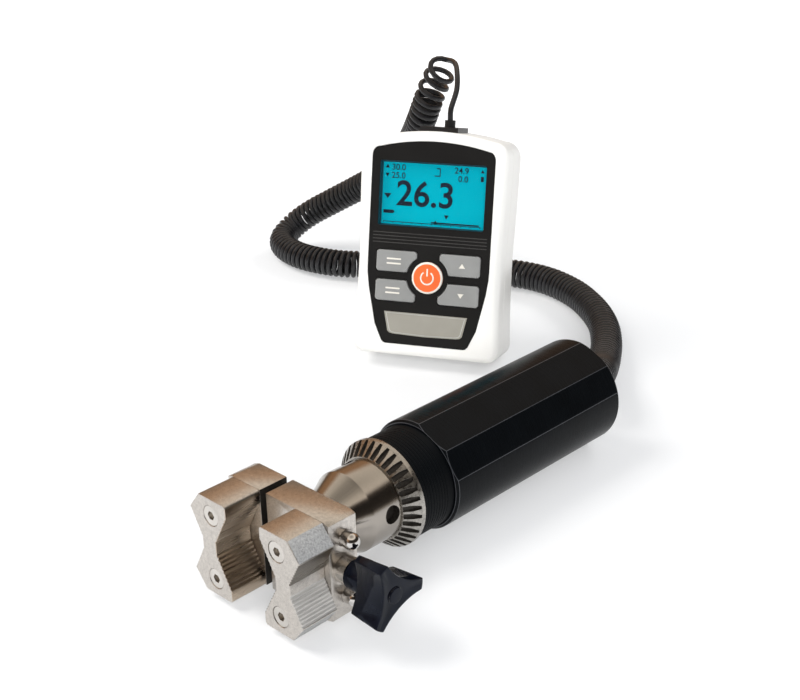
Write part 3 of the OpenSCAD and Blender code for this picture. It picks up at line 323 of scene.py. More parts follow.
# Colour, roughness, metal, grain, the grain's depth, the colour's spread and rounding, as plain takes them
PLAIN = {
    "dark_screw": ((0.03, 0.03, 0.032), 0.35, 0.9, 1500.0),
    "black_rubber": ((0.012, 0.012, 0.012), 0.55, 0.0, 1400.0, 0.03),
    "sensor_steel": ((0.5, 0.5, 0.52), 0.28, 1.0, 1500.0, 0.01, 0.12, 0.15),
    "gauge_film": ((0.55, 0.3, 0.07), 0.35, 0.3, 2500.0, 0.01),
    "circuit_board": ((0.012, 0.13, 0.05), 0.4, 0.0, 700.0, 0.02, 0.3),
    # Painted highlight: the paler rounded edges of the tube
    "edge_painted_highlight": ((0.035, 0.037, 0.042), 0.4),
    "bearing_steel": ((0.6, 0.6, 0.62), 0.12, 1.0, 1500.0, 0.004),
    "jaw_steel": ((0.42, 0.41, 0.4), 0.26, 1.0, 1600.0, 0.012, 0.12, 0.1),
    "socket_screw": ((0.62, 0.59, 0.55), 0.22, 1.0, 1500.0, 0.01, 0.12, 0.12),
    "polished_rod": ((0.62, 0.6, 0.58), 0.12, 1.0, 1200.0, 0.006, 0.06),
    "lcd_frame": ((0.45, 0.45, 0.42), 0.5),
    "orange_button": ((0.80, 0.135, 0.03), 0.42, 0.0, 1200.0, 0.02, 0.05, 0.2),
    "grey_key": ((0.25, 0.25, 0.24), 0.48, 0.0, 1400.0, 0.02, 0.06, 0.15),
    "black_plastic": ((0.012, 0.011, 0.011), 0.4, 0.0, 1200.0, 0.02, 0.12, 0.2),
    "cell_wrap": ((0.03, 0.09, 0.3), 0.3, 0.0, 900.0, 0.01, 0.1),
    "connector_shell": ((0.5, 0.5, 0.5), 0.25, 1.0),
    "beige_label": ((0.28, 0.265, 0.225), 0.42, 0.0, 1800.0, 0.01, 0.05, 0.1),
    "pale_print": ((0.72, 0.68, 0.6), 0.45, 0.0, 1500.0, 0.01, 0.05),
    "lcd_ink": ((0.002, 0.008, 0.022), 0.6, 0.0, 2500.0, 0.005, 0.2),
    # Painted shade for the rim of the LCD glass and the walls of its window
    "lcd_shade": ((0.003, 0.06, 0.085), 0.5, 0.0, 1800.0, 0.01, 0.05, 0.1),
    "panel_line": ((0.04, 0.039, 0.037), 0.4, 0.0, 2000.0, 0.01),
}
LOOKS = {name: plain(name, *facts) for name, facts in PLAIN.items()}
LOOKS.update({
    "black_anodised": anodised("black_anodised", 5.0, 0.006, 0.3),
    "black_collar": anodised("black_collar", 3.0, 0.012, 0.5),
    "chuck_steel": turned_steel(),
    "sleeve_steel": tooth_steel(),
    "nickel_plate": nickel(),
    # Painted shade on the dark V flanks, painted shade and warm reflection on the brown ones, painted light
    # on the pale ones
    "vee_painted_light_and_shade": vee_painted_light_and_shade("vee_painted_light_and_shade", (0.22, 0.2, 0.175)),
    "vee_painted_shade_brown": vee_painted_light_and_shade("vee_painted_shade_brown", (0.52, 0.43, 0.34)),
    "vee_painted_light": vee_painted_light_and_shade("vee_painted_light", (0.42, 0.405, 0.38), 0.4, 0.3),
    "cast_grey": cast_grey(),
    "painted_gap_shade": painted_gap_shade(),
    "black_knob": glossy_black(),
    "white_housing": housing(),
    "charcoal_overlay": film(),
    "clear_window": clear(),
    "cyan_lcd": backlight(),
    "cord_jacket": cord_skin(),
})

# The part's own shapes take their finishes by their slots
for sub in frame["record"]["subparts"]:
    for slot in nodes[sub["node"]].material_slots:
        slot.material = LOOKS[sub["material_slot"]]


# Meshes and objects
def shaped(name, verts, faces, place):
    """A mesh from millimetre points in the frame of place."""
    mesh = bpy.data.meshes.new(name)
    mesh.from_pydata([(place @ Vector(v)) * MM for v in verts], [], faces)
    return mesh


def face_out(mesh):
    """Turns all faces of a closed mesh outwards."""
    work = bmesh.new()
    work.from_mesh(mesh)
    bmesh.ops.recalc_face_normals(work, faces=work.faces)
    work.to_mesh(mesh)
    work.free()


def shade_smooth(mesh, sharp):
    """Shades a mesh smooth but for edges sharper than an angle in degrees."""
    mesh.polygons.foreach_set("use_smooth", [True] * len(mesh.polygons))
    mesh.set_sharp_from_angle(angle=math.radians(sharp))


def linked(name, data):
    """A new object in the scene."""
    made = bpy.data.objects.new(name, data)
    bpy.context.scene.collection.objects.link(made)
    return made


def finish_piece(name, mesh, look, body, replaces=(), sharp=32.0):
    """Makes a piece of a mesh: its finish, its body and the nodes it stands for."""
    face_out(mesh)
    shade_smooth(mesh, sharp)
    mesh.materials.clear()
    mesh.materials.append(LOOKS[look])
    made = linked(name, mesh)
    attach(made, body)
    for node in replaces:
        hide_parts(node)
    return made


def add(name, verts, faces, place, look, body, replaces=(), slot=None, sharp=32.0):
    """Makes a piece from millimetre points in the frame of place."""
    return finish_piece(name, shaped(name, verts, faces, place), look, body, replaces, sharp)


def loft(sections, closed_ends=True):
    """Joins rings of as many points each; closed ends are one face each."""
    n = len(sections[0])
    verts = [p for ring in sections for p in ring]
    faces = []
    for k in range(len(sections) - 1):
        for i in range(n):
            j = (i + 1) % n
            faces.append((k * n + i, k * n + j, (k + 1) * n + j, (k + 1) * n + i))
    if closed_ends:
        faces.append(tuple(range(n)))
        faces.append(tuple(reversed(range((len(sections) - 1) * n, len(sections) * n))))
    return verts, faces


def around(r, i, steps):
    """Where the i-th of so many even steps round a circle lies from its middle."""
    a = 2 * math.pi * i / steps
    return r * math.cos(a), r * math.sin(a)


def revolve_y(profile, steps, at=(0.0, 0.0)):
    """A closed profile of (r, y) points turned about an axis along Y."""
    verts, faces = [], []
    m = len(profile)
    for i in range(steps):
        for r, y in profile:
            x, z = around(r, i, steps)
            verts.append((at[0] + x, y, at[1] + z))
    for i in range(steps):
        j = (i + 1) % steps
        for k in range(m):
            q = (k + 1) % m
            faces.append((i * m + k, i * m + q, j * m + q, j * m + k))
    return verts, faces


def prism_y(outline, y0, y1):
    return loft([[(x, y, z) for x, z in outline] for y in (y0, y1)])


def bake(target):
    """Applies the modifiers of a piece to its mesh."""
    graph = bpy.context.evaluated_depsgraph_get()
    fresh = bpy.data.meshes.new_from_object(target.evaluated_get(graph), depsgraph=graph)
    old = target.data
    target.modifiers.clear()
    target.data = fresh
    bpy.data.meshes.remove(old)


def cut(target, cutters):
    """Cuts solids, each (verts, faces) in the display unit's frame, out of a piece's mesh."""
    for verts, faces in cutters:
        mesh = shaped("cutter", verts, faces, UNIT)
        face_out(mesh)
        tool = linked("cutter", mesh)
        mod = target.modifiers.new("cut", "BOOLEAN")
        mod.operation = "DIFFERENCE"
        mod.solver = "EXACT"
        mod.object = tool
        bake(target)
        bpy.data.objects.remove(tool)
        bpy.data.meshes.remove(mesh)


def soften(target, width, segments=2, angle=35.0, sharp=32.0, edge=None):
    """Rounds edges sharper than an angle in degrees; edge names another finish for what it rounds."""
    mod = target.modifiers.new("edge", "BEVEL")
    mod.width = width * MM
    mod.segments = segments
    mod.limit_method = "ANGLE"
    mod.angle_limit = math.radians(angle)
    mod.use_clamp_overlap = True
    if edge:
        target.data.materials.append(LOOKS[edge])
        mod.material = len(target.data.materials) - 1
    bake(target)
    shade_smooth(target.data, sharp)


def dressed(node, look, body, width, segments=2, angle=35.0, sharp=32.0, edge=None):
    """A copy of a node's shape, cleared of doubled points and needless edges, with its edges rounded."""
    mesh = nodes[node].data.copy()
    work = bmesh.new()
    work.from_mesh(mesh)
    bmesh.ops.remove_doubles(work, verts=work.verts, dist=1e-6)
    bmesh.ops.dissolve_limit(work, angle_limit=math.radians(0.4), verts=work.verts, edges=work.edges)
    work.to_mesh(mesh)
    work.free()
    made = finish_piece("look_" + node, mesh, look, body, [node])
    soften(made, width, segments, angle, sharp, edge)
    return made


def repaint(piece, look, test):
    """Gives the faces that pass a test, by their place and direction on the handle, another finish."""
    piece.data.materials.append(LOOKS[look])
    number = len(piece.data.materials) - 1
    back = TUBE.inverted()
    for face in piece.data.polygons:
        if test(back @ (face.center / MM), face.normal):
            face.material_index = number


# Outlines of (x, z) points
def circle(cx, cz, r, steps=48):
    return [(cx + x, cz + z) for x, z in (around(r, i, steps) for i in range(steps))]


def bar(x0, x1, z0, z1):
    return [(x0, z0), (x1, z0), (x1, z1), (x0, z1)]


def rounded(cx, cz, w, h, r, n=6):
    """A bar with rounded corners, n steps each."""
    ring = []
    for q, (sx, sz) in enumerate(((1, 1), (-1, 1), (-1, -1), (1, -1))):
        for i in range(n + 1):
            a = math.radians(90 * (q + i / n))
            ring.append((cx + sx * (w / 2 - r) + r * math.cos(a), cz + sz * (h / 2 - r) + r * math.sin(a)))
    return ring


# Handle
def front_collar():
    """The collar with fine rings turned into its outside."""
    outside, groove = 20.5, 20.36
    profile = [(17.2, -15.7), (20.1, -15.7), (outside, -15.3)]
    y = -14.2
    while y < -3.4:
        profile += [(outside, y), (groove, y + 0.14), (groove, y + 0.36), (outside, y + 0.5)]
        y += 1.45
    profile += [(outside, -0.3), (20.2, 0.0), (17.6, 0.0), (17.6, 8.0)]
    profile += [(12.0, 8.0), (12.0, 2.0), (8.0, 2.0), (8.0, -5.0), (17.2, -5.0)]
    add("front_collar_turned", *revolve_y(profile, 128), TUBE, "black_collar", "meter", ["front_collar"])


front_collar()

# Tube, with paler edges along its flats and round its ends, a painted highlight
dressed("handle_tube", "black_anodised", "meter", 0.22, 1, angle=12.0, sharp=12.0, edge="edge_painted_highlight")


def geared_sleeve():
    """The chuck's sleeve, with a cone of teeth at its front."""
    teeth = 36
    back = [(16.9, -16.0), (20.9, -16.0), (21.3, -16.3), (21.3, -17.7), (21.22, -18.1)]
    tip, root = (21.22, -18.1), (16.7, -23.1)
    down, along = root[0] - tip[0], root[1] - tip[1]
    cone = [(tip[0] + down * t, tip[1] + along * t, t) for t in (0, 0.05, 0.2, 0.5, 1)]
    front = [(16.5, -23.2), (15.85, -23.2), (15.85, -20.0), (16.9, -20.0)]
    inward = (-0.742, 0.67)
    # Each column of a tooth: where it is in the pitch, whether it lies in the gap, and the gap's middle.
    # Just inside the tip a gap is half as wide and about 1.2 deep; at the root it is 0.45 deep.
    columns = ((0.0, 0.0, -0.35), (0.3, 0.0, 0.65), (0.43, 1.0, 0.65), (0.87, 1.0, 0.65))
    verts, faces, dark = [], [], []
    for i in range(teeth):
        for at, deep, middle in columns:
            ring = [(r, y, at) for r, y in back]
            for r, y, t in cone:
                wide = 0.5 + 0.5 * min(1.0, t / 0.5)
                d = deep * (0.0 if t == 0 else 1.75 - 1.3 * t) * (0.4 + 0.6 * wide)
                ring.append((r + inward[0] * d, y + inward[1] * d, middle + (at - middle) * wide))
            ring += [(r, y, at) for r, y in front]
            for r, y, turn in ring:
                a = 2 * math.pi * (i + turn) / teeth
                verts.append((r * math.cos(a), y, r * math.sin(a)))
    rows = len(back) + len(cone) + len(front)
    n = teeth * len(columns)
    for i in range(n):
        j = (i + 1) % n
        for k in range(rows):
            q = (k + 1) % rows
            faces.append((i * rows + k, i * rows + q, j * rows + q, j * rows + k))
            dark.append(i % len(columns) != 0 and len(back) <= k < len(back) + len(cone) - 1)
    made = add(
        "geared_sleeve", verts, faces, TUBE, "sleeve_steel", "chuck_sleeve", ["chuck_sleeve"],
        slot="chuck_steel", sharp=24.0,
    )
    # Painted shade on the faces deep in the gaps between the teeth
    made.data.materials.append(LOOKS["painted_gap_shade"])
    for face, deep in zip(made.data.polygons, dark):
        face.material_index = 1 if deep else 0


geared_sleeve()

# Chuck body, with painted shade in its key holes
chuck = dressed("chuck_body", "chuck_steel", "meter", 0.2, angle=20.0, sharp=13.0)
repaint(chuck, "painted_gap_shade", lambda c, n: 12.0 < math.hypot(c.x, c.z) < 15.5 and -31.2 < c.y < -23.8)

# Gripper: painted shade on the faces in the gap between the blocks, V flanks in three colours of painted
# light, shade and reflection, rough outer corners
fixed_block = dressed("fixed_base", "nickel_plate", "meter", 0.25)
# Painted shade on the fixed block's face deep in the gap
repaint(fixed_block, "painted_gap_shade", lambda c, n: n.x < -0.9 and c.x < -5.2)
moving_block = dressed("moving_base", "nickel_plate", "moving_jaw", 0.25)
# Painted shade on the moving block's face deep in the gap
repaint(moving_block, "painted_gap_shade", lambda c, n: n.x > 0.9 and c.x > -9.1)
fixed_jaw = dressed("fixed_finger", "nickel_plate", "meter", 0.16, 1)
# Painted shade on the fixed finger's inner V and on the upper flank of its outer V
repaint(fixed_jaw, "vee_painted_light_and_shade", lambda c, n: abs(n.x) > 0.3 and (
    (c.x < 15.8 and abs(c.z) < 18.5) or (c.x > 20 and 0.5 < c.z < 12.2)))
# Painted light on the lower flank of the fixed finger's outer V
repaint(fixed_jaw, "vee_painted_light", lambda c, n: n.x > 0.1 and c.x > 20 and -12.2 < c.z < -0.5)
repaint(fixed_jaw, "cast_grey", lambda c, n: n.x > 0.45 and abs(n.z) > 0.45 and c.x > 23 and abs(c.z) > 12.6)
moving_jaw = dressed("moving_finger", "nickel_plate", "moving_jaw", 0.16, 1)
# Painted shade and warm reflection on the moving finger's inner V
repaint(moving_jaw, "vee_painted_shade_brown", lambda c, n: abs(n.x) > 0.3 and c.x > -15.8 and abs(c.z) < 18.5)

# Knob: three lobes between scooped sides, on the lead screw's axis, which runs along X before the tube
SCREW_Y = -61.35
KNOB_R = 13.0
SCOOP_R = 24.4
SCOOP_AT = 30.5
FIRST_SCOOP = -67.5


def knob_outline(grow, steps=240):
    """The knob seen along its axis, a length outside its own edge."""
    points = []
    for i in range(steps):
        a = 2 * math.pi * i / steps
        reach = KNOB_R + grow
        for s in range(3):
            b = SCOOP_AT * math.cos(a - math.radians(FIRST_SCOOP + 120 * s))
            root = b * b - (SCOOP_AT ** 2 - (SCOOP_R - grow) ** 2)
            if b > 0 and root > 0:
                reach = min(reach, b - math.sqrt(root))
        points.append((reach * math.cos(a), reach * math.sin(a)))
    return points


def rings_x(profile, steps=40):
    """Circles round an axis along X, from (r, x) points."""
    return [[(x, *around(r, i, steps)) for i in range(steps)] for r, x in profile]


def knob():
    """The lobes, the hub that the lead screw goes into, and the round boss on the knob's end."""
    place = TUBE @ Matrix.Translation((0, SCREW_Y, 0))
    lobes_at = 37.2
    lobes = ((-2.2, 0.0), (-0.8, 0.0), (-0.4, 6.5), (0.0, 13.0), (-0.9, 13.0), (-2.0, 12.75), (-4.0, 12.7))
    sections = [[(lobes_at + x, py, pz) for py, pz in knob_outline(grow)] for grow, x in lobes]
    made = add("knob_lobes", *loft(sections), place, "black_knob", "lead_screw_and_knob", ["knob"], sharp=30)
    soften(made, 0.3, 2, 40.0, 30.0)
    hub = rings_x(((3.05, 30.75), (5.1, 30.75), (5.5, 31.1), (5.5, 37.0), (5.3, 37.4), (3.05, 37.4)))
    add("knob_hub", *loft(hub + [hub[0]], False), place, "black_knob", "lead_screw_and_knob")
    boss = rings_x(((3.0, 49.6), (3.0, 50.3), (2.75, 50.52), (1.6, 50.6)))
    add("knob_boss", *loft(boss), place, "black_knob", "lead_screw_and_knob")


knob()

# Display unit. SEAM is the groove where its halves meet, by depth and inset.
# KEYS gives each key's side, left or right, and the height of its lower edge.
WAIST_Z = 50
WAIST_HALF = 34.4
FOOT_R = 6
TOP_R = 8
CROWN = 3.2
SHELL = 2.2
FILM = 0.8
FRONT_CUT = -1.0
BACK_CUT = 32.0
SEAM = ((11.7, 0), (11.82, 0.22), (12.0, 0.35), (12.18, 0.22), (12.3, 0))
TOP_SLOT = bar(-8.8, 9.6, UNIT_H - 0.7, UNIT_H + 3)
POWER_Z = 38
POWER_HOLE_R = 7.7
KEY_X = 15.3
KEY_W = 19.6
KEY_H = 10
KEYS = {"menu_key": (-1, 39.8), "zero_key": (1, 39.8), "data_key": (-1, 25.9), "mode_key": (1, 25.9)}


def side_half(z):
    """Half the unit's width at a height, least at the waist."""
    if z < WAIST_Z:
        return WAIST_HALF + 1.7 * ((WAIST_Z - z) / WAIST_Z) ** 2
    return WAIST_HALF + 1.0 * (1 - ((UNIT_H - z) / (UNIT_H - WAIST_Z)) ** 2)


def unit_outline(inset):
    """The unit seen from its front, a length inside its edge: a foot, a side, a shoulder, the crowned top."""
    shoulder = UNIT_H - CROWN - TOP_R
    foot_x = side_half(FOOT_R) - FOOT_R
    top_x = side_half(shoulder) - TOP_R
    half = []
    for i in range(13):
        a = math.radians(7.5 * i - 90)
        half.append((foot_x + (FOOT_R - inset) * math.cos(a), FOOT_R + (FOOT_R - inset) * math.sin(a)))
    for i in range(1, 20):
        z = FOOT_R + (shoulder - FOOT_R) * i / 20
        half.append((side_half(z) - inset, z))
    for i in range(12):
        a = math.radians(75 * i / 11)
        half.append((top_x + (TOP_R - inset) * math.cos(a), shoulder + (TOP_R - inset) * math.sin(a)))
    for i in range(12):
        k = 1 - i / 12
        half.append((top_x * k, UNIT_H - inset - CROWN * k * k))
    return half + [(0.0, UNIT_H - inset)] + [(-x, z) for x, z in reversed(half)]


def unit_section(y, inset):
    return [(x, y, z) for x, z in unit_outline(inset)]


def lip(degrees):
    """A point of the rounded edge: how far in from the face and how far in from the side."""
    a = math.radians(degrees)
    return EDGE_R * (1 - math.sin(a)), EDGE_R * (1 - math.cos(a))


def overlay_outline(grow):
    """The keypad film: a narrow foot, sides that lean out, and a bowed top."""
    s = 29.3 + grow
    low, foot, c = 20.6, 5.6, 3.0
    top_z = 96.6
    right = [(low - 1.6, foot - grow), (low - 0.5 + grow * 0.6, foot + 0.3 - grow)]
    right += [(low + 0.5 + grow, foot + 1.3), (low + 4 * c / 3 + grow, foot + 3 * c)]
    right += [(s - c / 3, 41 - 3 * c), (s - 0.1, 39), (s, 42), (s, top_z - c)]
    for i in range(1, 7):
        a = math.radians(15 * i)
        right.append((s - c + c * math.cos(a), top_z - c + grow + (c + 1.2) * math.sin(a)))
    top = []
    for i in range(7, -8, -1):
        k = i / 8
        top.append(((s - c) * k, top_z + grow + 1.2 + 3.4 * (1 - k * k)))
    return right + top + [(-x, z) for x, z in reversed(right)]


def key_outline(side, z0, grow):
    """A rounded bar whose inner corner gives way to the ring round the power button."""
    ring = rounded(side * KEY_X, z0 + KEY_H / 2, KEY_W + 2 * grow, KEY_H + 2 * grow, 1.5 + grow)
    dense = []
    for i, a in enumerate(ring):
        b = ring[(i + 1) % len(ring)]
        for t in range(8):
            dense.append((a[0] + (b[0] - a[0]) * t / 8, a[1] + (b[1] - a[1]) * t / 8))
    gone = 10.2 - grow
    out = []
    for x, z in dense:
        d = math.hypot(x, z - POWER_Z)
        if d < gone:
            x, z = x * gone / d, POWER_Z + (z - POWER_Z) * gone / d
        if not out or math.hypot(x - out[-1][0], z - out[-1][1]) > 0.05:
            out.append((x, z))
    return out


def button_holes(y1):
    """Cutters for the power button and the four keys, from before the face to y1."""
    outlines = [circle(0, POWER_Z, POWER_HOLE_R)]
    outlines += [key_outline(side, z0, 0.3) for side, z0 in KEYS.values()]
    return [prism_y(outline, FRONT_CUT, y1) for outline in outlines]


def front_shell():
    """The hollow front half, with its openings and the film's seat cut."""
    sections = [unit_section(*lip(15 * i)) for i in range(6, -1, -1)]
    sections += [unit_section(*point) for point in SEAM[:3]]
    made = add("front_shell", *loft(sections), UNIT, "white_housing", "meter", ["front_housing"], sharp=40)
    hollow = prism_y(unit_outline(SHELL), 3.0, 13.0)
    film_seat = prism_y(overlay_outline(0.15), FRONT_CUT, FILM)
    window_seat = prism_y(bar(-27.2, 27.2, 59.6, 93.4), 0.5, 1.8)
    window_hole = prism_y(bar(-25.4, 25.4, 61.4, 91.6), 0.9, 4.0)
    power_hole, *key_holes = button_holes(4.0)
    top_hole = prism_y(TOP_SLOT, 5.1, 14.0)
    cut(made, [hollow, film_seat, window_seat, window_hole, power_hole, top_hole, *key_holes])


def rear_shell():
    """The hollow rear half, with its openings, its screw holes and a shallow recess on its back cut."""
    sections = [unit_section(*point) for point in SEAM[2:]]
    for i in range(7):
        y, inset = lip(15 * i)
        sections.append(unit_section(DEPTH - y, inset))
    made = add("rear_shell", *loft(sections), UNIT, "white_housing", "meter", ["rear_housing"], sharp=40)
    hollow = prism_y(unit_outline(SHELL), 11.0, 28.0)
    top_hole = prism_y(TOP_SLOT, 11.0, 25.1)
    screw_holes = [prism_y(circle(x, z, 2.55), 27.2, BACK_CUT) for x in (-29, 29) for z in (11, 97)]
    recess = prism_y(rounded(0, 34, 50, 44, 3), 29.85, BACK_CUT)
    left, right = -40, -28
    jack = loft([[(x, y, z) for y, z in circle(19.4, 62, 2.8, 32)] for x in (left, right)])
    connector = prism_y(bar(left, right, 69.5, 82.5), 17.2, 21.6)
    cut(made, [hollow, top_hole, *screw_holes, recess, jack, connector])


front_shell()
rear_shell()


def mark(name, outline, y0, y1, look, slot, body="meter"):
    """A thin print, segment or strip on the display unit."""
    add(name, *prism_y(outline, y0, y1), UNIT, look, body, (), slot)


def print_on(body, name, outline, y=-0.5):
    """A print on a button's face at y."""
    mark(name, outline, y - 0.08, y + 0.02, "pale_print", "orange_button", body)


def overlay():
    """The keypad film, with openings for the window and the buttons, and four fine lines below the window."""
    solid = prism_y(overlay_outline(0.0), 0.05, FILM)
    made = add("overlay_film", *solid, UNIT, "charcoal_overlay", "meter", ["keypad_overlay"])
    window_hole = prism_y(rounded(0, 76.5, 50.8, 30.2, 0.8), FRONT_CUT, 2.0)
    cut(made, [window_hole, *button_holes(2.0)])
    for i in range(4):
        line = rounded(0, 53.4 + 1.55 * i, 55.0, 0.42, 0.2, 3)
        mark("panel_line_%d" % i, line, -0.05, 0.05, "panel_line", "charcoal_overlay")


overlay()


def key(name, side, z0):
    """A key's cap with softened edges, and its mark: an arrow on the right, two lines on the left."""
    edges = ((0.0, 5.3), (0.0, 0.2), (0.0, -0.1), (-0.12, -0.32), (-0.4, -0.46), (-0.8, -0.5))
    cx, z = side * KEY_X, z0 + KEY_H / 2
    base = key_outline(side, z0, 0.0)
    sections = []
    for grow, y in edges:
        ring = key_outline(side, z0, grow) if grow else base
        if len(ring) != len(base):
            ring = [(cx + (px - cx) * (1 + grow / 9), z + (pz - z) * (1 + grow / 5)) for px, pz in base]
        sections.append([(px, y, pz) for px, pz in ring])
    add(name + "_cap", *loft(sections), UNIT, "grey_key", name, [name])
    x = side * 16.5
    if side > 0:
        up = 1 if z0 > 30 else -1
        print_on(name, name + "_mark", [(x - 1.5, z - 1.0 * up), (x + 1.5, z - 1.0 * up), (x, z + 1.2 * up)])
    else:
        for i in range(2):
            print_on(name, name + "_mark_%d" % i, rounded(x, z + 1.1 - 2.2 * i, 7.0, 0.75, 0.3, 3))


for name, (side, z0) in KEYS.items():
    key(name, side, z0)


def power():
    """The power button with its pale ring and sign: a broken circle and a bar."""
    at = (0, POWER_Z)
    profile = [(0.01, 11.4), (2.0, 11.4), (2.0, 4.3), (7.4, 4.3), (7.4, 0.0)]
    profile += [(7.3, -0.28), (7.05, -0.44), (6.7, -0.5), (0.01, -0.62)]
    add("power_cap", *revolve_y(profile, 72, at), UNIT, "orange_button", "power_button", ["power_button"])
    ring = [(6.55, -0.5), (7.05, -0.43), (7.42, -0.2), (7.5, 0.2), (7.2, 0.2), (6.5, -0.3)]
    ring = [(r, y - 0.06) for r, y in ring]
    add("power_ring", *revolve_y(ring, 72, at), UNIT, "pale_print", "power_button", (), "orange_button")
    steps = 40
    start, end = math.radians(90 + 34), math.radians(90 + 326)
    sweep = end - start
    arc = []
    for r, first, turn in ((3.35, start, sweep), (2.65, end, -sweep)):
        for i in range(steps + 1):
            a = first + turn * i / steps
            arc.append((r * math.cos(a), POWER_Z + r * math.sin(a)))
    print_on("power_button", "power_arc", arc, -0.57)
    print_on("power_button", "power_bar", rounded(0, 40.6, 0.7, 3.6, 0.3, 3), -0.57)


power()


def label():
    """The bare label plate with a raised border."""
    outline = [(20.2, 20.8), (-20.2, 20.8), (-18.2, 11.6), (-17.2, 10.7), (-15.5, 10.35)]
    outline += [(0, 9.9), (15.5, 10.35), (17.2, 10.7), (18.2, 11.6)]
    add("bare_label", *prism_y(outline, -0.2, 0.05), UNIT, "beige_label", "meter", ["label_plate"])
    middle = 15.6
    rim = [(x * 0.955, middle + (z - middle) * 0.9) for x, z in outline]
    edge = [(x * 0.94, middle + (z - middle) * 0.87) for x, z in outline]
    n = len(outline)
    verts = [(x, y, z) for y in (-0.26, -0.18) for ring in (rim, edge) for x, z in ring]
    faces = []
    for i in range(n):
        j = (i + 1) % n
        for a, b in ((0, 1), (2, 3), (0, 2), (1, 3)):
            faces.append((a * n + i, a * n + j, b * n + j, b * n + i))
    add("label_border", verts, faces, UNIT, "lcd_frame", "meter", (), "beige_label")


label()

# Display: plain numbers, a bar and a scale on the glass
GLASS_Y = 2.9
NUMBERS_Y = 2.92
INK_Y = 2.98
SHADE_Y = 2.97
WINDOW_Y = 0.75


def digits(name, text, x, z, size, weight=0.05):
    """Flat numbers from the built-in font; weight makes their strokes bolder."""
    curve = bpy.data.curves.new(name, "FONT")
    curve.body = text
    curve.size = size
    curve.offset = weight
    curve.resolution_u = 4
    shape = linked(name, curve)
    graph = bpy.context.evaluated_depsgraph_get()
    mesh = bpy.data.meshes.new_from_object(shape.evaluated_get(graph), depsgraph=graph)
    bpy.data.objects.remove(shape)
    bpy.data.curves.remove(curve)
    for v in mesh.vertices:
        v.co = (UNIT @ Vector((x + v.co.x, NUMBERS_Y, z + v.co.y))) * MM
    finish_piece(name, mesh, "lcd_ink", "meter", ())


def screen():
    """The reading, the limits and peaks, small marks, a bar over its scale, and painted shade round the
    glass.
    """
    digits("reading", "26.3", -17.9, 71.0, 16.5, 0.26)
    digits("limit_high", "30.0", -20.6, 87.2, 4.0)
    digits("limit_low", "25.0", -20.6, 83.4, 4.0)
    digits("peak_high", "24.9", 9.6, 87.2, 4.0)
    digits("peak_low", "0.0", 11.5, 83.4, 4.0)
    ink = {
        "mark_side": [(-23.9, 76.2), (-20.2, 76.2), (-22.05, 73.8)],
        "mark_high": [(-23.6, 88.0), (-21.6, 88.0), (-22.6, 89.8)],
        "mark_low": [(-23.6, 85.6), (-21.6, 85.6), (-22.6, 83.8)],
        "battery_bar": bar(-23.8, -18.8, 66.9, 68.5),
        "battery_tip": bar(-18.8, -18.4, 67.3, 68.1),
        "scale_line": bar(-23.8, 23.4, 62.9, 63.2),
        "scale_fill": bar(-0.4, 22.6, 63.4, 64.0),
        "scale_mark": [(0.8, 63.3), (2.6, 63.3), (1.7, 64.9)],
        "set_mark": [(5.6, 67.6), (8.0, 67.6), (6.8, 65.7)],
        "spin_top": bar(1.1, 2.9, 88.6, 89.1),
        "spin_side": bar(2.6, 3.0, 85.6, 89.1),
        "spin_low": bar(0.2, 3.0, 85.2, 85.7),
        "peak_mark": [(22.0, 88.0), (23.8, 88.0), (22.9, 89.6)],
        "peak_side": bar(22.2, 23.6, 84.0, 86.4),
    }
    for i in range(11):
        ink["tick_%d" % i] = bar(-23.8 + 4.68 * i, -23.5 + 4.68 * i, 62.4, 62.95)
    for name, outline in ink.items():
        mark("lcd_" + name, outline, GLASS_Y, INK_Y, "lcd_ink", "cyan_lcd")
    # Painted shade on the rim of the glass, then dark strips of painted shade on the walls from it out to the
    # window
    shades = ((-26.9, -24.6, 61.4, 92.8), (-24.6, 26.9, 90.7, 92.8))
    shades += ((24.9, 26.9, 61.4, 90.7), (-24.6, 24.9, 60.4, 61.9))
    for i, sides in enumerate(shades):
        mark("lcd_shade_%d" % i, bar(*sides), GLASS_Y, SHADE_Y, "lcd_shade", "cyan_lcd")
    painted_wall_shades = ((-25.6, -25.25, 61.3, 91.7), (25.25, 25.6, 61.3, 91.7))
    painted_wall_shades += ((-25.25, 25.25, 61.3, 61.6), (-25.25, 25.25, 91.4, 91.7))
    for i, sides in enumerate(painted_wall_shades):
        mark("window_painted_shade_%d" % i, bar(*sides), WINDOW_Y, GLASS_Y, "lcd_shade", "cyan_lcd")


screen()

# Cord: a bare lead out of the boot, then curls over, down and round to the gland behind the handle.
# HINT is a direction that the route never takes; the curls' sideways directions follow from it.
BOOT_TOP = UNIT_H - 0.7 + 2.6 + 3.4
GLAND = Vector((AXIS_X, FRONT_Y + TUBE_L + 5.6 + 4, AXIS_Z))
LEAD = [(-65.0, 109.5, 122.6), (-70.4, 116, 128.1), (-78.0, 122.8, 131.2)]
ROUTE = [
    (-85, 122.5, 128.5), (-88.5, 122.5, 123.5), (-91.5, 121.5, 117.5), (-95, 121, 109.5), (-101, 123, 100),
    (-117, 134, 86), (-140, 148, 67), (-163, 154, 51), (-181, 153, 40), (-197, 147, 30),
    (-209, 141, 22), (-217, 134, 14), (-215, 124, 9), (-203, 117, 8), (-184, 115, 8),
    (-163, 121, 8), (-143, 136, 8), (-113, 156, 8), (-85, 170, 8), (-63, 175, 8),
    (-41, 171, 8), (-21, 161, 8), (-3, 147, 8), (11, 131, 8), (22, 115, 9),
    (32, 99, 12), (42, 83, 18),
]
CORD_D = 2.6
CURL_R = 6.3
PITCH = 3.15
LOOSE_PITCH = 6.0
LOOSE_TURNS = 3
PER_TURN = 16
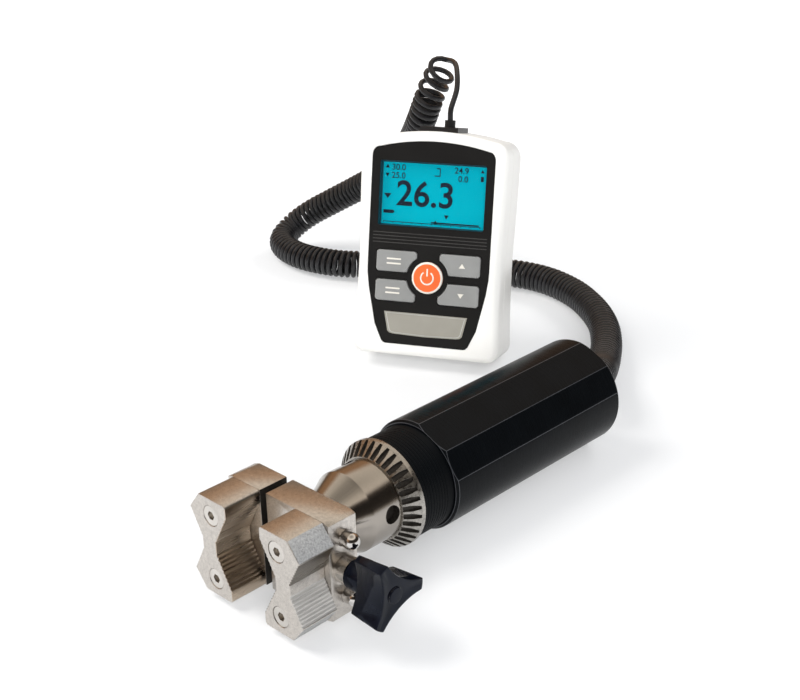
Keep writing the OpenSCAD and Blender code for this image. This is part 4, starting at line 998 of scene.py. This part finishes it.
PLAIN_OUT = 8.0
HINT = Vector((0.3, 0.5, -0.8))


def smooth(a, b, c, d, t):
    """A point of the curve from b to c, with a before it and d after it."""
    slope, bend, twist = c - a, 2 * a - 5 * b + 4 * c - d, 3 * b - a - 3 * c + d
    return b + slope * t / 2 + bend * t * t / 2 + twist * t ** 3 / 2


def walk(line, before, after, step):
    """Points of a smooth curve through those of a line, about step apart."""
    out = []
    for i in range(len(line) - 1):
        a = line[i - 1] if i else before
        b, c = line[i], line[i + 1]
        d = line[i + 2] if i + 2 < len(line) else after
        n = max(2, int((c - b).length / step))
        for j in range(n):
            out.append(smooth(a, b, c, d, j / n))
    out.append(line[-1])
    return out


def cord():
    """The cord's middle line: the lead, three loose curls, close curls, and a straight end into the gland."""
    route = [Vector(p) for p in ROUTE] + [GLAND + Vector((0, 2 * CORD_D, 0)), GLAND]
    fine = walk(route, 2 * route[0] - route[1], 2 * GLAND - route[-2], 0.2)
    at = [0.0]
    for a, b in zip(fine, fine[1:]):
        at.append(at[-1] + (b - a).length)
    loose = LOOSE_PITCH * LOOSE_TURNS
    wound = at[-1] - PLAIN_OUT - loose
    count = int(wound / PITCH * PER_TURN)
    turns = LOOSE_TURNS + count / PER_TURN
    # How far along the route each point lies, and after how many turns
    places = [(LOOSE_PITCH * k / PER_TURN, k / PER_TURN) for k in range(LOOSE_TURNS * PER_TURN)]
    places += [(loose + wound * k / count, LOOSE_TURNS + k / PER_TURN) for k in range(count + 1)]
    places += [(at[-1] - PLAIN_OUT + PLAIN_OUT * k / 5, turns) for k in range(1, 6)]
    path = []
    index = 0
    for s, turn in places:
        while index < len(at) - 2 and at[index + 1] < s:
            index += 1
        span = at[index + 1] - at[index]
        t = 0.0 if span == 0 else min(1.0, (s - at[index]) / span)
        p = fine[index].lerp(fine[index + 1], t)
        ahead = fine[min(index + 8, len(fine) - 1)] - fine[max(index - 8, 0)]
        ahead.normalize()
        side = HINT.cross(ahead).normalized()
        up = ahead.cross(side)
        ramp = max(0.0, min(1.0, turns - turn))
        ramp = ramp * ramp * (3 - 2 * ramp)
        a = 2 * math.pi * turn
        path.append(p + CURL_R * ramp * (side * math.cos(a) - up * math.sin(a)))
    start = UNIT @ Vector((3.2, DEPTH / 2, BOOT_TOP))
    out = (UNIT.to_3x3() @ Vector((0, 0, 1))) * 2 * CORD_D
    lead = [start, start + out] + [Vector(p) for p in LEAD] + [path[0]]
    return walk(lead, 2 * lead[0] - lead[1], path[3], 1.5)[:-1] + path


def tube(name, path, d, sides, look):
    """A closed tube round a path, turned as little as it can be from ring to ring."""
    n = len(path)
    dirs = [(path[min(i + 1, n - 1)] - path[max(i - 1, 0)]).normalized() for i in range(n)]
    side = dirs[0].orthogonal().normalized()
    rings = []
    for middle, ahead in zip(path, dirs):
        side = (side - ahead * side.dot(ahead)).normalized()
        up = ahead.cross(side)
        ring = []
        for k in range(sides):
            a = 2 * math.pi * k / sides
            ring.append(middle + (side * math.cos(a) + up * math.sin(a)) * d / 2)
        rings.append(ring)
    return add(name, *loft(rings), Matrix.Identity(4), look, "meter", ["cord_lead", "curly_cord"], sharp=60)


cord_path = cord()
flex = tube("curly_cord_flex", cord_path, CORD_D, 10, "cord_jacket")


# Floor, light and camera
def floor_paper():
    """Pale paper that takes the object's shadow. Where it is seen, straight or in a mirror, it also glows,
    and glows more with distance for the camera, so that it is as white as the room."""
    mat = bpy.data.materials.new("floor_paper")
    mat.use_nodes = True
    tree = mat.node_tree
    bsdf = tree.nodes["Principled BSDF"]
    grain = wired(tree, "ShaderNodeTexNoise", {"Scale": 40.0})
    bump = wired(tree, "ShaderNodeBump", {"Strength": 0.02, "Height": grain.outputs["Fac"]})
    feed(tree, bsdf.inputs["Base Color"], (0.86, 0.86, 0.86, 1))
    feed(tree, bsdf.inputs["Roughness"], 0.9)
    feed(tree, bsdf.inputs["Normal"], bump.outputs[0])
    path = wired(tree, "ShaderNodeLightPath", {}).outputs
    spot = wired(tree, "ShaderNodeTexCoord", {}).outputs["Object"]
    away = wired(tree, "ShaderNodeVectorMath", {0: spot}, operation="LENGTH").outputs["Value"]
    extra = maths(tree, "MULTIPLY", ranged(tree, away, 0.25, 0.8, 0.0, 0.55), path["Is Camera Ray"])
    strength = maths(tree, "ADD", extra, 0.38)
    glow = wired(tree, "ShaderNodeEmission", {"Color": (1, 1, 1, 1), "Strength": strength})
    lit = wired(tree, "ShaderNodeBsdfDiffuse", {"Color": (0.5, 0.5, 0.5, 1)})
    both = wired(tree, "ShaderNodeAddShader", {0: lit.outputs[0], 1: glow.outputs[0]})
    seen = maths(tree, "MAXIMUM", path["Is Camera Ray"], path["Is Glossy Ray"])
    seen = maths(tree, "MAXIMUM", seen, path["Is Transmission Ray"])
    feed(tree, tree.nodes["Material Output"].inputs["Surface"], mixed(tree, seen, bsdf, both).outputs[0])
    return mat


mesh = bpy.data.meshes.new("floor")
mesh.from_pydata([(-6, -6, 0), (6, -6, 0), (6, 6, 0), (-6, 6, 0)], [], [(0, 1, 2, 3)])
mesh.materials.append(floor_paper())
floor = linked("floor", mesh)
floor.location.z = -0.0002

# What metal and gloss show, by height: white low down, a warm dim wall on the left, a dark one on the right,
# and a soft box above
LEFT_WALL = [
    (0.0, (0.8, 0.78, 0.75)), (0.06, (0.3, 0.22, 0.16)), (0.14, (0.2, 0.13, 0.08)),
    (0.32, (0.51, 0.29, 0.155)), (0.56, (0.57, 0.33, 0.18)), (0.7, (1.1, 0.98, 0.84)),
    (0.84, (0.95, 0.86, 0.74)), (1.0, (0.4, 0.36, 0.31)),
]
RIGHT_WALL = [
    (0.0, (0.9, 0.88, 0.85)), (0.06, (0.3, 0.26, 0.22)), (0.14, (0.05, 0.042, 0.035)),
    (0.56, (0.03, 0.026, 0.022)), (0.66, (0.1, 0.08, 0.065)), (0.74, (1.2, 1.08, 0.94)),
    (0.84, (0.95, 0.86, 0.74)), (1.0, (0.4, 0.36, 0.31)),
]


def studio():
    """A room that is white to the camera, has two walls to gloss, and lights all else evenly."""
    world = bpy.data.worlds.new("studio")
    bpy.context.scene.world = world
    world.use_nodes = True
    tree = world.node_tree
    even = tree.nodes["Background"]
    feed(tree, even.inputs["Color"], (0.80, 0.82, 0.86, 1))
    feed(tree, even.inputs["Strength"], 0.45)
    white = wired(tree, "ShaderNodeBackground", {"Color": (1, 1, 1, 1), "Strength": 1.0})
    toward = wired(tree, "ShaderNodeTexCoord", {}).outputs["Generated"]
    axes = wired(tree, "ShaderNodeSeparateXYZ", {0: toward}).outputs
    left, right = (color_ramp(tree, axes["Z"], wall) for wall in (LEFT_WALL, RIGHT_WALL))
    walls = {"Factor": ranged(tree, axes["X"], -0.3, 0.3), 6: left, 7: right}
    blend = wired(tree, "ShaderNodeMix", walls, data_type="RGBA")
    mirrored = wired(tree, "ShaderNodeBackground", {"Color": blend.outputs[2], "Strength": 1.0})
    path = wired(tree, "ShaderNodeLightPath", {}).outputs
    seen = maths(tree, "MAXIMUM", path["Is Camera Ray"], path["Is Transmission Ray"])
    unseen = mixed(tree, path["Is Glossy Ray"], even, mirrored)
    feed(tree, tree.nodes["World Output"].inputs["Surface"], mixed(tree, seen, unseen, white).outputs[0])


studio()


def lamp(name, place, aim, size, power_w, color=(1, 1, 1)):
    """A soft box in metres and watts, kept out of reflections."""
    light = bpy.data.lights.new(name, "AREA")
    light.shape = "RECTANGLE"
    light.size, light.size_y = size
    light.energy = power_w
    light.color = color
    made = linked(name, light)
    made.location = place
    made.rotation_euler = (Vector(aim) - Vector(place)).to_track_quat("-Z", "Y").to_euler()
    made.visible_glossy = False


lamp("key", (-0.7, -0.5, 1.1), (0, 0, 0.03), (0.7, 0.7), 15.0, (1.0, 0.98, 0.95))
lamp("fill", (1.0, -0.9, 0.7), (0, 0, 0.03), (0.9, 0.6), 19.0, (0.95, 0.97, 1.0))
lamp("rim", (0.2, 1.1, 0.9), (0, 0, 0.05), (1.0, 0.4), 7.0)

# The camera that was solved from the photograph
AZIMUTH, ELEVATION, ROLL = math.radians(44.89), math.radians(24.38), math.radians(-1.57)
EYE = (0.37238, -0.37201, 0.28397)
FOCAL_PX = 1400.17
PHOTO_W = 800.0
SENSOR = 36.0
back_v = Vector((
    math.sin(AZIMUTH) * math.cos(ELEVATION), -math.cos(AZIMUTH) * math.cos(ELEVATION), math.sin(ELEVATION),
))
level_v = Vector((math.cos(AZIMUTH), math.sin(AZIMUTH), 0))
upright_v = back_v.cross(level_v)
right_v = level_v * math.cos(ROLL) + upright_v * math.sin(ROLL)
up_v = upright_v * math.cos(ROLL) - level_v * math.sin(ROLL)
camera = linked("camera", bpy.data.cameras.new("camera"))
camera.data.sensor_width = SENSOR
camera.data.lens = FOCAL_PX * SENSOR / PHOTO_W
camera.data.clip_start = 0.01
camera.data.clip_end = 30.0
camera.matrix_world = Matrix.Translation(EYE) @ Matrix((right_v, up_v, back_v)).transposed().to_4x4()
bpy.context.scene.camera = camera
bpy.context.scene.view_settings.view_transform = "Standard"
